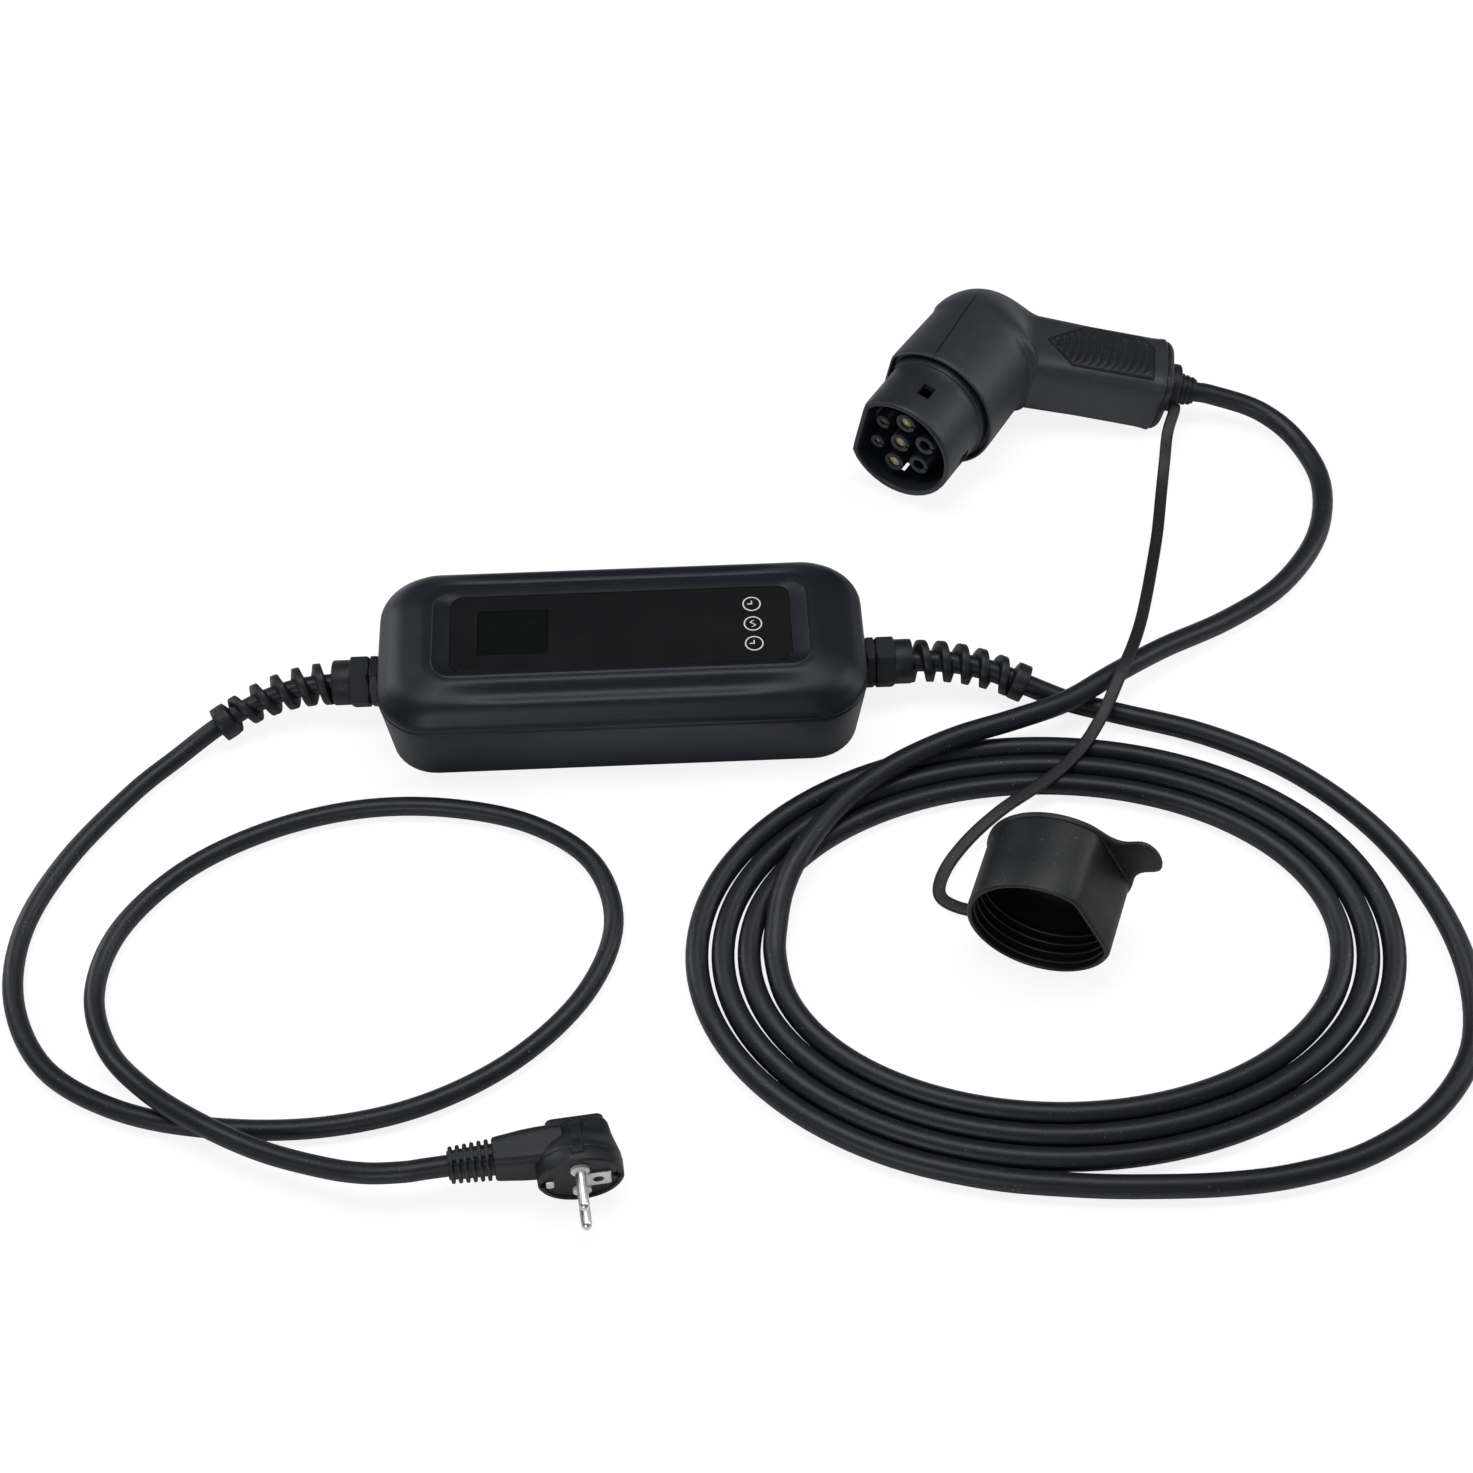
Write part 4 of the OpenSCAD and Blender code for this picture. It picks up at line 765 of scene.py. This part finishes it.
def grip_pad(side):
    """Side pad of the handle: rows run down it between a slanted front and rear edge, on its rounded square.

    Inside a plain border stand curved ribs, each a slow rise and a short fall of (place + bow)."""
    t = np.linspace(GRIP_FROM, GRIP_TO, 180)[:, None]
    fore = np.interp(t, [30, 44, 90], [0.2, 15, 15])
    back = np.interp(t, [30, 52, 82, 90], [0.2, 15, 15, 7])
    g = -back + (fore + back) * np.linspace(0, 1, 33)
    border = np.minimum(np.minimum(g + back, fore - g), np.minimum(t - GRIP_FROM, GRIP_TO - t))
    inside = np.clip((border - 1.6) / 0.7, 0, 1)
    saw = np.mod((t + 0.016 * g * g) / GRIP_PITCH, 1.0)
    rib = np.minimum(saw / GRIP_RISE, (1 - saw) / (1 - GRIP_RISE))
    level = handle_side(g, t) + 0.5 * np.clip(border / 0.5, 0, 1) ** 0.5 + inside * (1.1 * rib - 0.6)
    top = off_handle(t, g, side * level)
    floor = top[:, ::-1].copy()
    floor[..., 1] = side * 16.0
    return [skin(on_connector(np.concatenate([top, floor], 1)))]


def grip_gap_shade(side):
    """The painted shade of the gap round a side pad: a near-black strip along the pad's outline, laid on the
    handle's rounded square.
    """
    corners = np.array([(0, 30.2), (15.1, 44), (15.1, 90), (-7, 90), (-15.1, 82), (-15.1, 52), (0, 30.2)])
    f = np.arange(0, 6, 0.04)
    line = np.stack([np.interp(f, np.arange(7), corners[:, k]) for k in (0, 1)], -1)
    step = np.roll(line, -1, 0) - np.roll(line, 1, 0)
    out = np.stack([-step[:, 1], step[:, 0]], -1) / np.linalg.norm(step, axis=1, keepdims=True)
    rows = line[None] - np.array([-0.3, 0.9])[:, None, None] * out
    g, t = rows[..., 0], rows[..., 1]
    return [skin(on_connector(off_handle(t, g, side * (handle_side(g, t) + 0.07))), caps=False)]


def about_handle(profile):
    """Rings about the handle's axis: each (place, radius) is one circle, placed from the end plate on."""
    p = np.asarray(profile, float)
    c = circle(48)
    across = c[:, :1] * HANDLE_FORE + c[:, 1:] * ACROSS
    place = HANDLE_L + END_CAP_T + p[:, 0]
    return on_connector(on_handle(place)[:, None] + p[:, 1][:, None, None] * across)


def handle_end():
    """End plate of the handle: a rounded square that draws in towards the cable."""
    angle = circle(72)
    square = angle * (np.abs(angle) ** HANDLE_POWER).sum(-1, keepdims=True) ** (-1 / HANDLE_POWER)
    place = HANDLE_L + np.array([0.05, 0.3, 1.2, 2.6, 3.8, 4.6, 5.0])
    size = np.array([0.97, 0.985, 0.985, 0.95, 0.9, 0.85, 0.79])[:, None]
    rows = off_handle(place[:, None], size * square[:, 0] * 21, size * square[:, 1] * 20)
    return [skin(on_connector(rows))]


def cable_boot():
    """Boot round the cable: a seat for the strap's ring, then a cone with three rings down to the cable."""
    profile = [(0, 5.7), (0, 9.6), (0.3, 10), (6.7, 10), (7, 9.6)]
    for k in range(3):
        s, r = 7.2 + 2.9 * k, 8.2 - 0.55 * k
        profile += [(s, r + 0.4), (s + 0.3, r + 0.8), (s + 1.5, r + 0.7), (s + 1.9, r)]
    return [skin(about_handle(profile + [(16, 6.9), (16, 5.7)]))]


def strap_loop():
    """Ring of the strap: a flat hoop with round edges."""
    rows = about_handle([(0.3, 10.2), (0.3, 12.9), (0.8, 13.4), (5.2, 13.4), (5.8, 12.9), (5.8, 10.2)])
    return [skin(ring_round(rows), caps=False)]


CAP_M = turn("z", CAP_TURN) @ turn("y", CAP_TILT) @ turn("x", CAP_ROLL)


def on_cap(points):
    """Points of the cap's own frame, open end along X and flat side along Z, carried to where it lies."""
    return moved(np.asarray(points) + (0, 0, NOSE_DROP), (*CAP_AT, CAP_Z), CAP_M)


def cap_cup():
    """Dust cap: a D-shaped cup with a lip round its floor and four sealing ridges inside.

    The pull tab is rows of a flat oval: wide at the lip, narrow at the neck, round at the end."""
    angle = np.radians(np.arange(0, 360, 3.0))
    wall, bore = CAP_FIT + CAP_WALL, CAP_FIT
    outside = [(0, 2.6), (0.15, 3.6), (0.7, 4.15), (2.4, 4.2), (3.0, 3.9), (3.3, wall), (12, wall),
               (26, wall), (40.6, wall), (41.5, wall - 0.25), (CAP_DEPTH, wall - 0.9),
               (CAP_DEPTH, bore + 0.6), (41.6, bore + 0.15), (40.6, bore)]
    ridge = ((1.0, 0), (0.6, 0.55), (0, 0.7), (-0.6, 0.55), (-1.0, 0))
    inside = [(x + s, bore - d) for x in (37.5, 32.5, 27.5, 22.5) for s, d in ridge]
    rows = np.array(outside + inside + [(10, bore), (4.2, bore), (3.3, bore - 0.5), (3.0, bore - 1.6)])
    cup = skin(on_cap(d_rings(rows[:, 0], rows[:, 1], angle, 32.0)))
    z = np.array([22, 25, 27, 28.2, 29.4, 31, 33, 35.4, 38, 40.5, 42.7, 44.6, 46.2, 47.5, 48.4, 48.9, 49.0])
    w = np.array([25, 23.5, 21.4, 19.4, 17.2, 14.9, 12.9, 11.5, 10.9, 10.9, 10.9, 10.5, 9.6, 8.1, 6.0,
                  3.6, 1.2])
    c = circle(40)
    across = np.sign(c[:, 0]) * np.abs(c[:, 0]) ** 0.3
    thick = 1.5 + 1.45 * np.sign(c[:, 1]) * np.abs(c[:, 1]) ** 0.5
    return [cup, skin(on_cap(xyz(thick, w[:, None] * across, z[:, None])))]


def down_cable(rings):
    """Rings of the plug that run out along its cable, carried to where the plug lies."""
    return on_plug(xyz(rings[..., 0] - PLUG_NECK_X, -rings[..., 2], rings[..., 1]))


def plug_body():
    """Plug body: rows run back from the round face and blend to a flat oblong, as 3t^2 - 2t^3 of the depth.

    The face has a notch at each side, where the radius drops. A grip bar crosses the back, a neck leads to
    the cable, and a low rib follows the body above and below."""
    notch_edges = [7.2, 7.6, 172.4, 172.8, 187.2, 187.6, 352.4, 352.8]
    angle = np.radians(np.unique(np.concatenate([np.arange(0, 360, 4.0), notch_edges])))
    cosine, sine = np.cos(angle), np.sin(angle)
    oblong = ((np.abs(cosine) / OBLONG_Y) ** 4 + (np.abs(sine) / OBLONG_Z) ** 4) ** -0.25
    x = np.array([-0.9, -0.9, -0.1, 0, -0.2, -0.9, -3, -6.5, -7.2, -7.9, -10, -13, -16, -19, -22, -24.5,
                  -26.2, -27])
    face = np.array([8, 16.4, 16.7, 17.6, 18.6, 19.2, PLUG_R, PLUG_R, 18.9, 19.1, 19, 18.8, 18.6, 18.4, 18.2,
                     17.6, 16.6, 14.6])
    t = ease(np.clip((-x - OBLONG_FROM) / OBLONG_RUN, 0, 1)[:, None])
    trim = np.interp(-x, [22, 24.5, 26.2, 27], [1, 0.975, 0.91, 0.8])[:, None]
    r = face[:, None] * (1 - t) + oblong * t * trim
    notch = (np.abs(sine) < np.sin(np.radians(7.4))) & (x > -8)[:, None] & (face > NOTCH_R)[:, None]
    r = np.where(notch, np.minimum(r, NOTCH_R), r)
    rows = xyz(x[:, None], r * cosine, r * sine)
    bar = rounded_rings([3, 3.9, 4.4, 4.4, 3.9, 3], [11.6, 12.5, 13, 13, 12.5, 11.6],
                        [2.4, 2.8, 3, 3, 2.8, 2.4], [24, 24.6, 25.4, 28.8, 29.6, 30])
    bar = xyz(-bar[..., 2], bar[..., 1], bar[..., 0])
    neck = down_cable(rounded_rings(
        [9, 9, 8.9, 8.6, 8.0, 7.6, 7.3, 6.6], [11, 11, 10.9, 10.6, 10.2, 10, 9.8, 9.0], 4,
        [6, 12, 18, 24, 30, 34, 36.4, 37]))
    along = np.array([-2.2, -2.6, -4, -7, -10, -13, -16, -19, -22, -24.5, -25.2])
    part = ease(np.clip((-along - OBLONG_FROM) / OBLONG_RUN, 0, 1))
    height = np.interp(-along, -x[5:], face[5:]) * (1 - part) + OBLONG_Z * part
    height = height + np.interp(-along, [2.2, 4, 24.5, 25.2], [-2, 0.9, 0.9, -2])
    side = np.array([-3.2, -2.9, -2.4, -0.8, 0.8, 2.4, 2.9, 3.2])
    drop = np.array([3.0, 0.7, 0, 0, 0, 0, 0.7, 3.0])
    ribs = []
    for k, most in ((1, 30.0), (-1, PLUG_R - 0.05)):
        level = np.minimum(height[:, None], most) - drop
        ribs.append(skin(on_plug(xyz(along[:, None], side, level) * (1, 1, k))))
    return [skin(on_plug(rows)), skin(on_plug(bar)), skin(neck)] + ribs + plug_guard()


def plug_guard():
    """Bend guard of the plug: a thin core, six rounded ribs and two spines that join them."""
    core = rounded_rings([6.6, 6.4, 6.1], [7.2, 7.0, 6.5], [6.0, 5.9, 5.8], [36, 47, BOOT_END])
    parts = [core]
    edge = np.array([0.7, 0.2, 0, 0, 0.2, 0.7])
    step = np.array([-0.9, -0.75, -0.4, 0.4, 0.75, 0.9])
    for k in range(6):
        half, tall = 7.5 - 0.13 * k - edge, 9.2 - 0.16 * k - edge
        parts.append(rounded_rings(half, tall, 5 - edge, 39.4 + 3.2 * k + step))
    for side in (-1, 1):
        spine = rounded_rings([1.6, 2.0, 2.0, 1.6], [1.3, 1.7, 1.4, 1.0], 0.9, [35, 37, 55.5, 56.4])
        parts.append(spine + (0, side * 6.9, 0))
    return [skin(down_cable(p)) for p in parts]


def plug_metal():
    """Two pins with rounded tips: the tip's radius falls as the root of 1 - t^2."""
    t = np.linspace(0, 1, 9)
    tip = np.stack([16.4 + 2.6 * t, PIN_R * np.sqrt(np.maximum(1 - t ** 2, 0.002))], -1).tolist()
    pin = lathe([(-8, 2.0), (0.82, 2.0), (0.85, PIN_R), (6, PIN_R), (12, PIN_R)] + tip, 32)
    return [skin(on_plug(pin + (0, 0, z))) for z in (-PIN_Z, PIN_Z)]


def plug_collars():
    """Two pale collars round the roots of the pins."""
    collar = lathe([(-6, 4.2), (0.45, 4.2), (0.8, 3.85), (0.8, 2.25), (-6, 2.25)], 40)
    return [skin(on_plug(ring_round(collar) + (0, 0, z)), caps=False) for z in (-PIN_Z, PIN_Z)]


def plate(x0, x1, y, z, hy, hz, hole=0.0):
    """A small metal plate across X with eased edges; a hole goes through its middle if it has a radius."""
    e = np.array([0.0, 0.0, 0.35])
    rows = rounded_rings(hy - e, hz - e, 0.8, [x0, x1 - 0.35, x1], 8, 2)
    if hole:
        rim = circle(rows.shape[1], np.pi / 8) * hole
        rim = xyz(rim[:, 0], rim[:, 1], np.array([[x1], [x0]]))
        rows = ring_round(np.concatenate([rows, rim]))
    return skin(on_plug(xyz(rows[..., 2], rows[..., 0] + y, rows[..., 1] + z)), caps=not hole)


build("nose_shell", nose_shell(), HOOD, ["connector_nose"])
build("contact_sleeves", contact_sleeves(), HOOD, ["contact_carrier"])
for name, y, z, r, bore in (
        ("line", POWER_Y, 0, 3.7, 3.0), ("neutral", -POWER_Y, 0, 3.7, 3.0), ("earth", 0, 0, 3.7, 3.0),
        ("pilot", SIGNAL_Y, SIGNAL_Z, 2.2, 1.5), ("proximity", -SIGNAL_Y, SIGNAL_Z, 2.2, 1.5)):
    build(name + "_socket", socket_contact(y, z, r, bore), BRASS, ["contact_" + name])
build("connector_shell", connector_shell(), JOINED, ["connector_hood", "connector_handle"],
      crease=45)
build("grip_pad_left", grip_pad(1), SOFT, ["grip_left"])
build("grip_pad_right", grip_pad(-1), SOFT, ["grip_right"])
# Strips that paint the shade in the gaps round the grip pads
build("grip_gap_left", grip_gap_shade(1), GAP_SHADE)
build("grip_gap_right", grip_gap_shade(-1), GAP_SHADE)
build("handle_end", handle_end(), SOFT, ["handle_end_cap"])
build("boot_cone", cable_boot(), SOFT, ["cable_boot"])
build("strap_loop", strap_loop(), SOFT, ["strap_ring"])
build("cap_cup", cap_cup(), CAP, ["dust_cap"])
build("plug_moulding", plug_body(), SOFT, ["plug_body"])
build("plug_pin_pair", plug_metal(), NICKEL, ["plug_pins"])
build("plug_collar_pair", plug_collars(), WHITE, ["plug_collars"])
build("earth_plate", [plate(-3, 0.4, 7.6, 0, 5.6, 5.5, 2.4)], NICKEL, ["plug_earth_socket"])
build("earth_clip", [plate(-3, 0.5, -13.6, 0, 1.8, 2.9)], NICKEL, ["plug_earth_clip"])


def camera_and_light():
    """The photograph's view: 53 degrees above the table, a little to the left, under wide soft lights."""
    scene = bpy.context.scene
    data = bpy.data.cameras.new("view")
    data.sensor_width, data.lens, data.clip_end = SENSOR, SENSOR * FOCAL_PX / PHOTO_PX, 20.0
    camera = bpy.data.objects.new("view", data)
    camera.location = VIEW_AT
    camera.rotation_euler = np.radians((90.0 - VIEW_TILT, 0.0, VIEW_TURN)).tolist()
    scene.collection.objects.link(camera)
    scene.camera = camera
    scene.view_settings.view_transform = "Standard"

    world = bpy.data.worlds.new("studio")
    scene.world = world
    world.use_nodes = True
    nodes, links = world.node_tree.nodes, world.node_tree.links
    ray = nodes.new("ShaderNodeLightPath")
    seen = nodes.new("ShaderNodeBackground")
    soft = nodes["Background"]
    soft.inputs["Color"].default_value = (0.93, 0.96, 1.0, 1.0)
    soft.inputs["Strength"].default_value = 0.1
    seen.inputs["Color"].default_value = (1.0, 1.0, 1.0, 1.0)
    either = nodes.new("ShaderNodeMixShader")
    links.new(ray.outputs["Is Camera Ray"], either.inputs[0])
    links.new(soft.outputs[0], either.inputs[1])
    links.new(seen.outputs[0], either.inputs[2])
    links.new(either.outputs[0], nodes["World Output"].inputs["Surface"])

    for name, place, aim, size, power in (
            ("over_box", (0.0, 0.15, 1.5), (0.05, -0.05, 0.0), (1.5, 0.5), 12.0),
            ("left_box", (-1.4, 0.8, 0.65), (0.0, 0.0, 0.0), (0.5, 1.1), 7.5),
            ("right_box", (1.5, 0.2, 0.8), (0.1, 0.0, 0.0), (0.4, 1.2), 6.0),
            ("front_box", (-0.5, -1.6, 0.8), (0.1, 0.0, 0.0), (0.8, 0.4), 6.0)):
        lamp = bpy.data.lights.new(name, "AREA")
        lamp.shape, lamp.size, lamp.size_y, lamp.energy = "RECTANGLE", size[0], size[1], power
        holder = bpy.data.objects.new(name, lamp)
        holder.location = place
        away = unit(np.array(place) - np.array(aim))
        heading = np.arctan2(away[1], away[0]) + np.pi / 2
        holder.rotation_euler = (float(np.arccos(away[2])), 0.0, float(heading))
        scene.collection.objects.link(holder)


def table_top():
    """A wide pale floor that keeps the shadows: part paint, part plain white as the camera sees it.

    The white share rises with the distance from the middle, so that no edge of the floor shows."""
    f = Finish("pale_table")
    ray = f.node("ShaderNodeLightPath", output="Is Camera Ray")
    glow = f.node("ShaderNodeEmission", {}, {"Color": (1.0, 1.0, 1.0, 1.0), "Strength": 1.22})
    f.set(Base_Color=f.blend(f.noise(60.0), (0.86, 0.86, 0.86), (0.9, 0.9, 0.9)), Roughness=0.8,
          Specular_IOR_Level=0.1)
    paint = Field(f, f.surface.outputs[0])
    away = f.node("ShaderNodeVectorMath", {"operation": "LENGTH"}, {0: f.place()}, "Value")
    white = f.node("ShaderNodeMapRange", {"interpolation_type": "SMOOTHSTEP"},
                   {0: away, 1: FADE_FROM, 2: FADE_TO, 3: 0.7, 4: 1.0})
    both = f.node("ShaderNodeMixShader", {}, {0: ray * white, 1: paint, 2: glow})
    f.tree.links.new(both.socket, f.tree.nodes["Material Output"].inputs["Surface"])
    mesh = bpy.data.meshes.new("table_top")
    reach = 4.0
    corners = [(-reach, -reach, 0), (reach, -reach, 0), (reach, reach, 0), (-reach, reach, 0)]
    mesh.from_pydata(corners, [], [(0, 1, 2, 3)])
    mesh.materials.append(f.material)
    floor = bpy.data.objects.new("table_top", mesh)
    floor.location.z = -0.0005
    bpy.context.scene.collection.objects.link(floor)


camera_and_light()
table_top()
